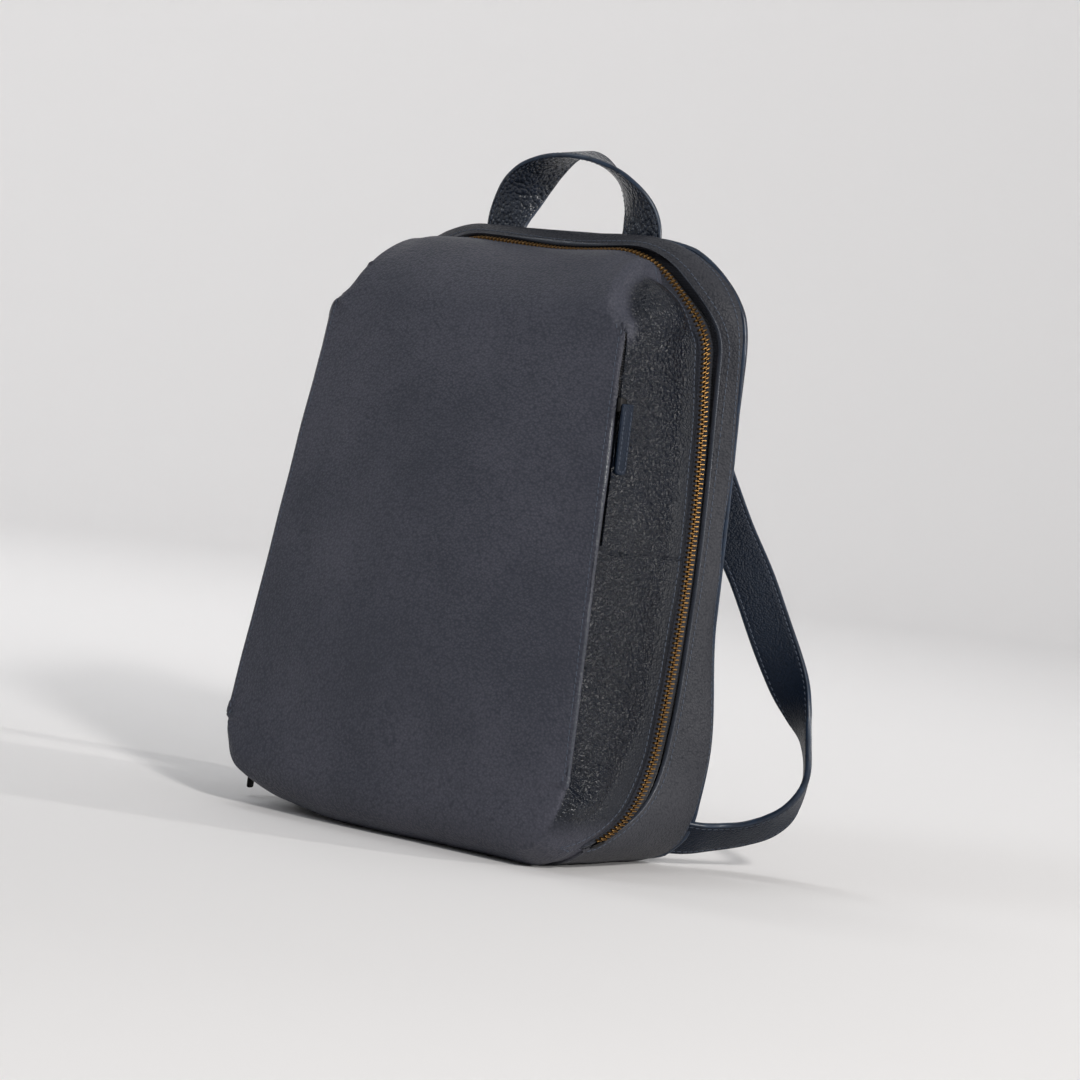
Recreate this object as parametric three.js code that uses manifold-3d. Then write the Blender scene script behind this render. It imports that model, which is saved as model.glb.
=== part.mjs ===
// Leather backpack with a clamshell zip, a side pocket, a top handle and two shoulder straps.
// Millimetres, +Z up, front towards -Y, origin on the floor under the middle of the base.
import * as THREE from 'three';
import { mergeVertices } from 'three/addons/utils/BufferGeometryUtils.js';
import Module from 'manifold-3d';

const wasm = await Module();
wasm.setup();

// ---- driving dimensions ----
const HEIGHT = 396;              // top of the back edge
const BACK_Y = 58.5;             // outer face of the back panel
const FRONT_FOOT_Y = -77.4;      // front plane where it would meet the floor
const FRONT_LEAN = 0.124;        // how far the front plane moves back for each mm of height
const RIDGE_LOW = { z: 56, x: 136.5 };    // lower end of the stitched front edge
const RIDGE_HIGH = { z: 337, x: 113.8 };  // upper end
const FIN_WIDTH = 3;             // how far the stitched edge stands out sideways
const FIN_THICK = 2.4;
const BACK_HALF = 149.5;         // half width of the back panel
const BACK_FLARE = 8;            // extra half width of the soft lower part
const FLARE_Z = 80;
const FLARE_SPAN = 80;
const ZIP_HALF = 142.5;          // half width at the zip, at its widest
const ZIP_WIDEST_Z = 80;
const ZIP_NARROWING = { above: 2.8e-4, below: 5.6e-5 };
const TOP_CORNER = { front: 50, back: 85 };
const CORNER_BLEND = 60;         // depth in front of the zip over which the top corner tightens
const BOTTOM_CORNER = 45;
const FRONT_TOP_ROLL = 44;
const FRONT_BOTTOM_ROLL = 34;
const BACK_ROLL = 9;
const RIDGE_ROLL = 5;
const FRONT_CROWN = 5;
const CROWN_END = 120;           // height over which the front's crown grows from the base, and from the top
const ZIP_TOP_DROP = 11;         // the zip runs this far below the back edge on top
const TOP_SLOPE = 0.11;
const CROWN_REACH = 40;          // depth behind the front over which its crown fades
const TOP_FALL = { start: 230, shoulder: 16, back: 8, front: 34 };   // where the top falls towards the front
const GAP = 0.4;                 // clearance between neighbouring pieces

const ZIP_ARC = { y: -75, z: 95.6, r: 90 };   // lower curve of the zip, seen from the side
const ZIP_ARC_END = 75.4;        // height where the lower curve ends
const ZIP_RUN = { y: 12.7, slope: 0.19, bend: 2.93e-4 };   // the long curve above it
const ZIP_TOP = { z: 320, span: 50, forward: 7 };          // the zip comes forward over the top
const STEEPEST = 3.5;            // limit on the zip's squared slope where an offset is stretched
const HINGE = { y: -36.5, z: 14 };            // line through the two lower zip ends
const TOOTH_BAND = 3.2;          // width of one row of teeth
const TAPE_EDGE = 7;             // edge of the zip tape, from the zip's centre line
const LEATHER_EDGE = 7.9;        // cut edge of the leather, from the zip's centre line

const LEATHER = 2.2;
const TAPE = { out: 0.5, in: 1.7, low: 0.03 };      // depth of the zip tape, and the height where it starts
const END_STOP = [0.012, 0.024];   // lower and upper end of the zip's end stops, as fractions of the height
const TEETH = { out: -1, in: 1.4, apart: 0.2, spare: 0.1 };
const PAD = { out: 2.8, in: 5.2 };
const LINING = { out: 5.8, in: 6.8 };
const SIDE_LINING = { out: 3.5, in: 4.5 };

const SIDE_SEAM_Z = 195;         // cross seam of the side panels
const SIDE_POCKET = [[95, -24, 205], [108, 15, 316]];         // lowest and highest corners
const LAPTOP_SLEEVE = [[-120, 33, 14], [120, 50, 262]];
const INNER_POCKET = [[-70, 25.5, 90], [70, 32.7, 200]];
const OPEN_END = 10;            // how far a pocket's hollow is cut past its open side
const POCKET_TOP_Z = 334;
const POCKET_SLOT = 10;          // distance from the front edge to the side pocket's lip

const SLIDER = { length: 13, width: 10, thick: 3, x: 145.1, bridge: 3.2, bridge_length: 7, bridge_height: 1.4 };
const PARKED = { lower: 24, upper: 37 };      // heights of the two parked sliders
const PULL = { width: 6, length: 19, thick: 1.4, clear: 2.7 };
const POCKET_PULL = { width: 11, length: 42, thick: 2, x: 123.1, y: -34.5, z: 285 };
const POCKET_SLIDER = { x: 3.6, y: 6.4, z: 9, in: 3.8, forward: 1.4 };   // sizes, and its place from the pull

const HANDLE = { width: 31, thick: 3.6, foot_x: 54, foot_y: 61, foot_low: 371, foot_top: 398.3, pivot_z: 402 };
const STRAP = { width: 29, thick: 4.4 };
const ADJUSTER_AT = 0.16;        // fraction of the strap's run where its buckle sits
const ADJUSTER = { width: 36, height: 18, thick: 2.4, clear: 3 };
const ADJUSTER_SLOT = { width: 30.6, height: 5.2, at: 4.4 };

// ---- materials ----
function material(color, roughness, metalness = 0) {
  return new THREE.MeshStandardMaterial({ color, roughness, metalness });
}
const LOOK = {
  frontLeather: [0x3a3d47, 0.5],
  sideLeather: [0x2c3039, 0.38],
  strapLeather: [0x242e3a, 0.45],
  lining: [0x23262e, 0.85],
  foam: [0x55585e, 0.9],
  board: [0x3b3833, 0.7],
  tape: [0x171b27, 0.8],
  brass: [0xa8742f, 0.35, 1],
  gunmetal: [0x3b3a38, 0.35, 1],
};

const bag = new THREE.Group();

function addNode(name, geometry, look) {
  const mesh = new THREE.Mesh(geometry, material(...LOOK[look]));
  mesh.name = name;
  bag.add(mesh);
  return mesh;
}

// ---- the outer form of the bag ----
const { abs, sqrt, min, max, cos, sin } = Math;
const lerp = (a, b, f) => a + (b - a) * f;
const clamp01 = (v) => min(1, max(0, v));
const smooth = (v) => clamp01(v) ** 2 * (3 - 2 * clamp01(v));

// Height of a side point after the lower and upper corners are rounded.
function edgeHeight(z) {
  const top = HEIGHT - TOP_CORNER.back;
  if (z < BOTTOM_CORNER) return BOTTOM_CORNER - Math.SQRT1_2 * (BOTTOM_CORNER - z);
  if (z > top) return top + Math.SQRT1_2 * (z - top);
  return z;
}

function frontPlane(z) {
  return FRONT_FOOT_Y + FRONT_LEAN * z;
}

function ridgeHalf(z) {
  return lerp(RIDGE_LOW.x, RIDGE_HIGH.x, (z - RIDGE_LOW.z) / (RIDGE_HIGH.z - RIDGE_LOW.z));
}

// Side view of the zip: an arc from the lower end, then a long shallow curve that leans back at the top.
function zipLine(z) {
  if (z < ZIP_ARC_END) {
    const dz = max(z, HINGE.z) - ZIP_ARC.z;
    return ZIP_ARC.y + sqrt(ZIP_ARC.r ** 2 - dz ** 2);
  }
  const up = z - ZIP_ARC_END;
  const forward = ZIP_TOP.forward * smooth((z - ZIP_TOP.z) / ZIP_TOP.span);
  return ZIP_RUN.y + ZIP_RUN.slope * up - ZIP_RUN.bend * up * up - forward;
}

// Stretch of a sideways offset so that it is measured square to the zip.
function zipStretch(z) {
  const slope = (zipLine(z + 1) - zipLine(z - 1)) / 2;
  return sqrt(1 + min(slope * slope, STEEPEST));
}

function halfWidth(y, z) {
  const front = ridgeHalf(z) - FIN_WIDTH;
  const narrowing = z > ZIP_WIDEST_Z ? ZIP_NARROWING.above : ZIP_NARROWING.below;
  const zip = ZIP_HALF - narrowing * (z - ZIP_WIDEST_Z) ** 2;
  const back = BACK_HALF + BACK_FLARE * smooth(1 - abs(z - FLARE_Z) / FLARE_SPAN);
  const zipY = zipLine(z);
  if (y < zipY) return lerp(front, zip, clamp01((y - frontPlane(z)) / (zipY - frontPlane(z))));
  return lerp(zip, back, clamp01((y - zipY) / (BACK_Y - zipY)));
}

// Rounds one corner of a box section: p runs to the limit P, q to the limit Q on the side given by s.
function roundCorner(p, q, P, Q, s, r) {
  const a = (p - (P - r)) / r;
  const b = (s * (q - Q) + r) / r;
  if (a <= 0 || b <= 0) return [p, q];
  return [P - r + r * a * sqrt(1 - b * b / 2), Q - s * r + s * r * b * sqrt(1 - a * a / 2)];
}

// A point of the bag's wall: X is -1..1 across, Z is 0..1 up, depth gives y, inset is measured inwards.
function wall(X, Z, depth, inset) {
  const z0 = inset + Z * (HEIGHT - 2 * inset);
  const zEdge = edgeHeight(z0);
  const y0 = depth(zEdge, inset);
  const w = halfWidth(y0, zEdge) - inset;
  const upper = z0 > HEIGHT / 2;
  const limit = upper ? HEIGHT - inset : inset;
  const side = upper ? 1 : -1;
  const forward = clamp01((zipLine(zEdge) - y0) / CORNER_BLEND);
  const corner = upper ? lerp(TOP_CORNER.back, TOP_CORNER.front, forward) : BOTTOM_CORNER;
  let [x, z] = roundCorner(abs(X) * w, z0, w, limit, side, corner - inset);
  let y = y0;
  // front rolls over the top and under the base, small roll at the back
  const frontY = frontPlane(zEdge) + inset;
  const roll = upper ? FRONT_TOP_ROLL : FRONT_BOTTOM_ROLL;
  [z, y] = roundCorner(side * z, y, side * limit, frontY, -1, roll - inset);
  z *= side;
  const backRoll = max(1, BACK_ROLL - inset);
  [z, y] = roundCorner(side * z, y, side * limit, BACK_Y - inset, 1, backRoll);
  z *= side;
  // vertical edges
  [x, y] = roundCorner(x, y, w, frontY, -1, max(1, RIDGE_ROLL - inset));
  [x, y] = roundCorner(x, y, w, BACK_Y - inset, 1, backRoll);
  // the top falls towards the front and the front is crowned
  const ySkin = y0 < zipLine(zEdge) ? y - inset : y + inset;
  const shoulder = smooth((BACK_Y - TOP_FALL.back - ySkin) / TOP_FALL.shoulder);
  const lowering = ZIP_TOP_DROP * shoulder + TOP_SLOPE * max(0, TOP_FALL.front - ySkin);
  z -= lowering * smooth((z + inset - TOP_FALL.start) / (HEIGHT - TOP_FALL.start));
  const nearFront = clamp01(1 - (y - frontY) / CROWN_REACH);
  const crownHeight = smooth(z / CROWN_END) * smooth((HEIGHT - z) / CROWN_END);
  y -= FRONT_CROWN * (1 - (x / w) ** 2) * crownHeight * nearFront;
  return [X < 0 ? -x : x, y, z];
}

const frontDepth = (f, edge) => (z, t) =>
  lerp(frontPlane(z) + t, zipLine(z) - edge * zipStretch(z), f);
const zipDepth = (offset) => (z) => zipLine(z) + offset * zipStretch(z);

// ---- closed solids from grids of points ----
function solidFrom(points, faces) {
  const positions = new Float32Array(points.flat());
  let volume = 0;
  for (const [a, b, c] of faces) {
    const [p, q, r] = [points[a], points[b], points[c]];
    volume += p[0] * (q[1] * r[2] - q[2] * r[1]);
    volume += p[1] * (q[2] * r[0] - q[0] * r[2]);
    volume += p[2] * (q[0] * r[1] - q[1] * r[0]);
  }
  const ordered = volume < 0 ? faces.map(([a, b, c]) => [a, c, b]) : faces;
  const geometry = new THREE.BufferGeometry();
  geometry.setAttribute('position', new THREE.BufferAttribute(positions, 3));
  geometry.setIndex(ordered.flat());
  return geometry;
}

// A slab over a grid of us by vs: at(u, v, side) gives its outer (0) and inner (1) points.
function slab(us, vs, at) {
  const points = [];
  for (const side of [0, 1]) {
    for (const v of vs) {
      for (const u of us) points.push(at(u, v, side));
    }
  }
  const nu = us.length;
  const nv = vs.length;
  const id = (i, j, side) => side * nu * nv + j * nu + i;
  const faces = [];
  const quad = (a, b, c, d) => faces.push([a, b, c], [a, c, d]);
  for (let j = 0; j < nv - 1; j++) {
    for (let i = 0; i < nu - 1; i++) {
      quad(id(i, j, 0), id(i + 1, j, 0), id(i + 1, j + 1, 0), id(i, j + 1, 0));
      // the inner face is split along the same diagonal, so layers stay parallel
      faces.push([id(i, j, 1), id(i + 1, j + 1, 1), id(i + 1, j, 1)]);
      faces.push([id(i, j, 1), id(i, j + 1, 1), id(i + 1, j + 1, 1)]);
    }
  }
  for (let i = 0; i < nu - 1; i++) {
    quad(id(i, 0, 0), id(i, 0, 1), id(i + 1, 0, 1), id(i + 1, 0, 0));
    quad(id(i, nv - 1, 0), id(i + 1, nv - 1, 0), id(i + 1, nv - 1, 1), id(i, nv - 1, 1));
  }
  for (let j = 0; j < nv - 1; j++) {
    quad(id(0, j, 0), id(0, j + 1, 0), id(0, j + 1, 1), id(0, j, 1));
    quad(id(nu - 1, j, 0), id(nu - 1, j, 1), id(nu - 1, j + 1, 1), id(nu - 1, j + 1, 0));
  }
  return solidFrom(points, faces);
}

// Evenly spaced values from a to b.
function steps(a, b, n) {
  return Array.from({ length: n + 1 }, (_, i) => lerp(a, b, i / n));
}

// ---- grids that follow the rounded corners ----
const lowCorner = BOTTOM_CORNER / HEIGHT;
const highCorner = 1 - TOP_CORNER.back / HEIGHT;
const sideCorner = 1 - TOP_CORNER.back / BACK_HALF;
const SIDE_ZS = [...steps(0, lowCorner, 3), ...steps(lowCorner, highCorner, 8).slice(1),
  ...steps(highCorner, 1, 4).slice(1)];
const ACROSS = [...steps(-1, -sideCorner, 4), ...steps(-sideCorner, sideCorner, 4).slice(1, -1),
  ...steps(sideCorner, 1, 4)];

// The U round the bag, from the lower right corner over the top to the lower left one.
const U_PATH = [
  ...SIDE_ZS.map((z) => [1, z]),
  ...[...ACROSS].reverse().slice(1, -1).map((x) => [x, 1]),
  ...[...SIDE_ZS].reverse().map((z) => [-1, z]),
];

const trimmed = (X) => X * (1 - GAP / BACK_HALF);

// A band round the U between two depths and two insets.
function uBand(depths, outer, inner, lowCut = 0) {
  const path = U_PATH.map(([x, z]) => [x, max(z, lowCut)]);
  const seen = path.filter(([x, z], i) => i === 0 || x !== path[i - 1][0] || z !== path[i - 1][1]);
  return slab(seen, depths, ([x, z], depth, side) => wall(x, z, depth, side ? inner : outer));
}

// The two halves of the zip: side is -1 in front of its centre line and 1 behind it.
function zipTape(side) {
  const depths = [zipDepth(side * (TOOTH_BAND + GAP + TEETH.spare)), zipDepth(side * TAPE_EDGE)];
  return uBand(depths, TAPE.out, TAPE.in, TAPE.low);
}

function zipTeeth(side) {
  const depths = [zipDepth(side * TEETH.apart), zipDepth(side * (TOOTH_BAND + TEETH.spare))];
  return uBand(depths, TEETH.out, TEETH.in, TAPE.low);
}

// ---- front shell ----
const FRONT_LOOP = [
  ...steps(1, 0, 3).map((f) => [f, 0]),
  ...SIDE_ZS.slice(1, -1).map((z) => [0, z]),
  ...steps(0, 1, 5).map((f) => [f, 1]),
];

function frontSheet(outer, inner, cut = 0) {
  return slab(ACROSS, FRONT_LOOP, (X, [f, Z], side) => {
    const t = side ? inner : outer;
    return wall(trimmed(X) * (1 - cut), Z, frontDepth(f, LEATHER_EDGE), t);
  });
}

function sideSheet(sign, zs, outer, inner, lip) {
  const fs = steps(0, 1, 4);
  return slab(zs, fs, (Z, f, side) => {
    const depth = (z, t) => {
      const start = frontPlane(z) + t + lip(z);
      return lerp(start, zipLine(z) - LEATHER_EDGE * zipStretch(z), f);
    };
    return wall(sign, Z, depth, side ? inner : outer);
  });
}

function buildFrontShell() {
  addNode('front_panel', frontSheet(0, LEATHER), 'frontLeather');
  addNode('front_padding', frontSheet(PAD.out, PAD.in, 0.02), 'foam');
  addNode('front_lining', frontSheet(LINING.out, LINING.in, 0.02), 'lining');
  const seam = SIDE_SEAM_Z / HEIGHT;
  const cut = GAP / HEIGHT;
  const lowZs = [cut, ...SIDE_ZS.filter((z) => z > 0 && z < seam - 0.02), seam - cut / 2];
  const highZs = [seam + cut / 2, ...SIDE_ZS.filter((z) => z > seam + 0.02 && z < 1), 1 - cut];
  const plain = () => GAP;
  const pocketLip = (z) => lerp(POCKET_SLOT, GAP, smooth((z - POCKET_TOP_Z + 6) / 12));
  for (const [label, sign] of [['left', -1], ['right', 1]]) {
    const lip = sign > 0 ? pocketLip : plain;
    addNode(`side_panel_lower_${label}`, sideSheet(sign, lowZs, 0, LEATHER, plain), 'sideLeather');
    addNode(`side_panel_upper_${label}`, sideSheet(sign, highZs, 0, LEATHER, lip), 'sideLeather');
    const liningZs = [3 * cut, ...SIDE_ZS.filter((z) => z > 0 && z < 1), 1 - 3 * cut];
    const lining = sideSheet(sign, liningZs, SIDE_LINING.out, SIDE_LINING.in, () => 4);
    addNode(`side_lining_${label}`, lining, 'lining');
    addNode(`edge_seam_${label}`, edgeSeam(sign), 'frontLeather');
  }
  addNode('zip_tape_front', zipTape(-1), 'tape');
  addNode('zip_teeth_front', zipTeeth(-1), 'brass');
  buildSidePocket();
}

// The stitched edge that stands out along the front corner.
function edgeSeam(sign) {
  const zs = steps(RIDGE_LOW.z, RIDGE_HIGH.z, 10);
  return slab(zs, [0, 1], (z, v, side) => {
    const x = ridgeHalf(z) - (v ? 0 : FIN_WIDTH - 0.3);
    return [sign * x, frontPlane(z) + (side ? FIN_THICK : 0), z];
  });
}

function toSolid(geometry) {
  const bare = geometry.clone();
  bare.deleteAttribute('normal');
  bare.deleteAttribute('uv');
  const merged = mergeVertices(bare, 1e-4);
  const mesh = new wasm.Mesh({
    numProp: 3,
    vertProperties: new Float32Array(merged.attributes.position.array),
    triVerts: new Uint32Array(merged.index.array),
  });
  return new wasm.Manifold(mesh);
}

function fromSolid(solid) {
  const mesh = solid.getMesh();
  const geometry = new THREE.BufferGeometry();
  geometry.setAttribute('position', new THREE.BufferAttribute(new Float32Array(mesh.vertProperties), 3));
  geometry.setIndex(new THREE.BufferAttribute(new Uint32Array(mesh.triVerts), 1));
  return geometry;
}

function block(low, high) {
  const size = high.map((v, i) => v - low[i]);
  const geometry = new THREE.BoxGeometry(...size);
  geometry.translate(...low.map((v, i) => v + size[i] / 2));
  return geometry;
}

// A box that is open towards the + side of each axis marked in open.
function tray(low, high, wallThick, open) {
  const hollowLow = low.map((v) => v + wallThick);
  const hollowHigh = high.map((v, i) => v + (open[i] ? OPEN_END : -wallThick));
  return fromSolid(toSolid(block(low, high)).subtract(toSolid(block(hollowLow, hollowHigh))));
}

function buildSidePocket() {
  const low = SIDE_SEAM_Z / HEIGHT + 0.004;
  const high = (POCKET_TOP_Z - 4) / HEIGHT;
  const zs = steps(low, high, 6);
  const strip = (a, b, outer, inner) => slab(zs, [a, b], (Z, offset, side) =>
    wall(1, Z, (z, t) => frontPlane(z) + t + offset, side ? inner : outer));
  addNode('pocket_zip_tape', strip(0.7, POCKET_SLOT - 0.5, 0.8, 1.9), 'tape');
  addNode('pocket_zip_teeth', strip(4.5, 7.5, -0.4, 0.5), 'gunmetal');
  addNode('side_pocket_bag', tray(...SIDE_POCKET, 1.2, [1, 0, 0]), 'lining');
  const lean = new THREE.Vector3(RIDGE_HIGH.x - RIDGE_LOW.x, frontPlane(RIDGE_HIGH.z) - frontPlane(RIDGE_LOW.z),
    RIDGE_HIGH.z - RIDGE_LOW.z).normalize();
  const body = new THREE.BoxGeometry(POCKET_SLIDER.x, POCKET_SLIDER.y, POCKET_SLIDER.z);
  const slider = addNode('pocket_slider', body, 'gunmetal');
  slider.quaternion.setFromUnitVectors(new THREE.Vector3(0, 0, 1), lean);
  slider.position.set(POCKET_PULL.x - POCKET_SLIDER.in, POCKET_PULL.y - POCKET_SLIDER.forward, POCKET_PULL.z);
  addNode('pocket_pull', pullPlate(POCKET_PULL, 1), 'sideLeather');
}

// A flat tab that hangs from its pivot, with rounded lower corners.
function pullPlate(pull, outward) {
  const half = pull.width / 2;
  const shape = new THREE.Shape();
  shape.moveTo(-half, 1);
  shape.lineTo(-half, -pull.length + half * 0.6);
  shape.quadraticCurveTo(-half, -pull.length, -half * 0.3, -pull.length);
  shape.lineTo(half * 0.3, -pull.length);
  shape.quadraticCurveTo(half, -pull.length, half, -pull.length + half * 0.6);
  shape.lineTo(half, 1);
  shape.closePath();
  const extrusion = { depth: pull.thick, bevelEnabled: false, curveSegments: 4 };
  const geometry = new THREE.ExtrudeGeometry(shape, extrusion);
  geometry.translate(0, 0, -pull.thick / 2);
  // shape x runs along the bag's Y, shape y along Z, and the thickness along X
  geometry.applyMatrix4(new THREE.Matrix4().set(0, 0, outward, 0, outward, 0, 0, 0, 0, 1, 0, 0, 0, 0, 0, 1));
  geometry.translate(pull.x * outward, pull.y, pull.z);
  return geometry;
}

// ---- back shell ----
function buildBackShell() {
  const fs = steps(0, 1, 3);
  addNode('back_gusset', uBand(fs.map((f) => gussetDepth(f, GAP)), 0, LEATHER, 0.004), 'sideLeather');
  const liningDepths = fs.map((f) => gussetDepth(f, 3));
  addNode('gusset_lining', uBand(liningDepths, SIDE_LINING.out, SIDE_LINING.in, 0.012), 'lining');
  addNode('zip_tape_back', zipTape(1), 'tape');
  addNode('zip_teeth_back', zipTeeth(1), 'brass');
  for (const [label, sign] of [['left', -1], ['right', 1]]) {
    addNode(`zip_end_stop_${label}`, endStop(sign), 'brass');
  }

  addNode('base_panel', baseSheet(0, LEATHER, 1), 'sideLeather');
  addNode('base_board', baseSheet(PAD.out + 0.4, PAD.in, 0.78), 'board');
  addNode('base_lining', baseSheet(LINING.out, LINING.in, 0.94), 'lining');

  const backSheet = (outer, inner) => slab(ACROSS, SIDE_ZS, (X, Z, side) =>
    wall(trimmed(X), lerp(GAP / HEIGHT, 1 - GAP / HEIGHT, Z), (z, t) => BACK_Y - t, side ? inner : outer));
  addNode('back_panel', backSheet(0, LEATHER), 'frontLeather');
  addNode('back_padding', backSheet(PAD.out, PAD.in + 1.5), 'foam');
  addNode('back_lining', backSheet(LINING.out + 1.5, LINING.in + 1.5), 'lining');
  addNode('laptop_sleeve', tray(...LAPTOP_SLEEVE, 2.4, [0, 1, 1]), 'lining');
  addNode('inner_pocket', tray(...INNER_POCKET, 1.2, [0, 1, 1]), 'lining');
}

function gussetDepth(f, backGap) {
  return (z, t) => lerp(zipLine(z) + LEATHER_EDGE * zipStretch(z), BACK_Y - t - backGap, f);
}

// The base, from just behind the hinge line to the back edge.
function baseSheet(outer, inner, reach) {
  const start = HINGE.y + 2.5;
  const fs = [0, 0.3, 0.6, 0.9, 0.95, 1];
  return slab(ACROSS, fs, (X, f, side) => {
    const depth = (z, t) => lerp(start + outer, BACK_Y - t - GAP, f);
    return wall(trimmed(X) * reach, 0, depth, side ? inner : outer);
  });
}

function endStop(sign) {
  const across = [2 * TEETH.apart, TOOTH_BAND + TEETH.apart];
  return slab(END_STOP, across, (Z, offset, side) => {
    return wall(sign, Z, zipDepth(offset), side ? TEETH.in : TEETH.out);
  });
}

// ---- main zip sliders, parked at the lower left end ----
function buildSlider(label, height) {
  const outline = new THREE.Shape();
  const l = SLIDER.length / 2;
  const w = SLIDER.width / 2;
  outline.moveTo(-l, -w * 0.7);
  outline.lineTo(-l * 0.3, -w);
  outline.lineTo(l, -w * 0.6);
  outline.lineTo(l, w * 0.6);
  outline.lineTo(-l * 0.3, w);
  outline.lineTo(-l, w * 0.7);
  outline.closePath();
  const plate = new THREE.ExtrudeGeometry(outline, { depth: SLIDER.thick, bevelEnabled: false });
  const half = [SLIDER.bridge_length / 2, SLIDER.bridge / 2];
  const low = [-half[0], -half[1], SLIDER.thick - 0.5];
  const bridge = block(low, [...half, SLIDER.thick + SLIDER.bridge_height]);
  const geometry = fromSolid(toSolid(plate).add(toSolid(bridge)));
  const y = zipLine(height);
  const tilt = Math.atan2(y - ZIP_ARC.y, ZIP_ARC.z - height);
  // local x along the zip, local y across it, local z outwards to the left
  const along = new THREE.Vector3(0, cos(tilt), sin(tilt));
  const out = new THREE.Vector3(-1, 0, 0);
  const across = new THREE.Vector3().crossVectors(out, along);
  const turn = new THREE.Matrix4().makeBasis(along, across, out);
  geometry.applyMatrix4(turn);
  geometry.translate(-SLIDER.x, y, height);
  addNode(`zip_slider_${label}`, geometry, 'gunmetal');
  const pull = { ...PULL, x: SLIDER.x + SLIDER.thick + PULL.clear, y, z: height };
  addNode(`zip_pull_${label}`, pullPlate(pull, -1), 'gunmetal');
}

// ---- flat straps: a rectangular section swept along a path while it twists ----
function smoothCurve(list) {
  return new THREE.CatmullRomCurve3(list.map((p) => new THREE.Vector3(...p)), false, 'centripetal');
}

// Place, run, width direction and outward normal of a strap at a fraction of its path.
function strapFrame(path, widths, f) {
  const at = smoothCurve(path).getPoint(f);
  const tangent = smoothCurve(path).getTangent(f);
  const across = smoothCurve(widths).getPoint(f);
  across.addScaledVector(tangent, -across.dot(tangent)).normalize();
  const normal = new THREE.Vector3().crossVectors(tangent, across);
  return { at, tangent, across, normal };
}

function ribbon(path, widths, width, thick, count) {
  const section = [[-1, -1], [1, -1], [1, 1], [-1, 1]];
  const points = [];
  const faces = [];
  for (let i = 0; i <= count; i++) {
    const { at, across, normal } = strapFrame(path, widths, i / count);
    for (const [a, b] of section) {
      const corner = at.clone().addScaledVector(across, a * width / 2).addScaledVector(normal, b * thick / 2);
      points.push(corner.toArray());
    }
  }
  for (let i = 0; i < count; i++) {
    for (let k = 0; k < 4; k++) {
      const a = i * 4 + k;
      const b = i * 4 + (k + 1) % 4;
      faces.push([a, b, b + 4], [a, b + 4, a + 4]);
    }
  }
  const end = count * 4;
  faces.push([0, 2, 1], [0, 3, 2], [end, end + 1, end + 2], [end, end + 2, end + 3]);
  return solidFrom(points, faces);
}

function mirrored(list, sign) {
  return list.map(([x, y, z]) => [sign * x, y, z]);
}

function buildHandle() {
  const { foot_x: x, foot_y: y, pivot_z: z } = HANDLE;
  const path = [[-x, y, z], [-x, y, z + 4], [-49, y, 415], [-39, 60, 430], [-21, 59, 442], [0, 58.5, 446],
    [21, 59, 442], [39, 60, 430], [49, y, 415], [x, y, z + 4], [x, y, z]];
  const widths = [[1, 0, 0], [1, 0, 0], [1, -0.15, 0], [0.8, -0.6, -0.5], [0.3, -1, -0.3], [0, -1, 0],
    [-0.3, -1, -0.3], [-0.8, -0.6, -0.5], [-1, -0.15, 0], [-1, 0, 0], [-1, 0, 0]];
  addNode('handle_strap', ribbon(path, widths, HANDLE.width, HANDLE.thick, 28), 'strapLeather');
  for (const [label, sign] of [['left', -1], ['right', 1]]) {
    const foot = block(
      [sign * x - HANDLE.width / 2, y - HANDLE.thick / 2, HANDLE.foot_low],
      [sign * x + HANDLE.width / 2, y + HANDLE.thick / 2, HANDLE.foot_top],
    );
    addNode(`handle_foot_${label}`, foot, 'strapLeather');
  }
}

// Right-hand shoulder strap, from below its upper tab round the loop to its lower tab.
const STRAP_PATH = [[56, 85, 337], [68, 89, 315], [88, 91, 285], [108, 92, 250], [128, 93, 215],
  [147, 95, 185], [164, 98, 152], [178, 101, 125], [189, 103, 102], [195, 104, 87], [199, 102, 65],
  [193, 98, 46], [181, 94.5, 33]];
const STRAP_TWIST = [[1, 0, 0], [0.95, 0.2, 0.2], [0.85, 0.4, 0.3], [0.8, 0.5, 0.35], [0.74, 0.54, 0.38],
  [0.74, 0.54, 0.38], [0.78, 0.45, 0.38], [0.85, 0.1, 0.25], [0.75, -0.5, 0.1], [0.59, -0.81, 0],
  [0.5, -0.85, 0.1], [0.35, -0.85, 0.35], [0.23, -0.84, 0.49]];
const UPPER_TAB = [[56, 61.2, 367], [55.5, 64, 360], [55, 70, 353]];
const LOWER_TAB = [[158, 82, 23], [149, 71, 19.5], [145, 61.8, 18.5]];
const LOWER_TWIST = [[0.5, -0.6, 0.6], [0.7, -0.4, 0.6], [0.8, -0.15, 0.6]];
const UPPER_TWIST = UPPER_TAB.map(() => [1, 0, 0]);

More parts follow.
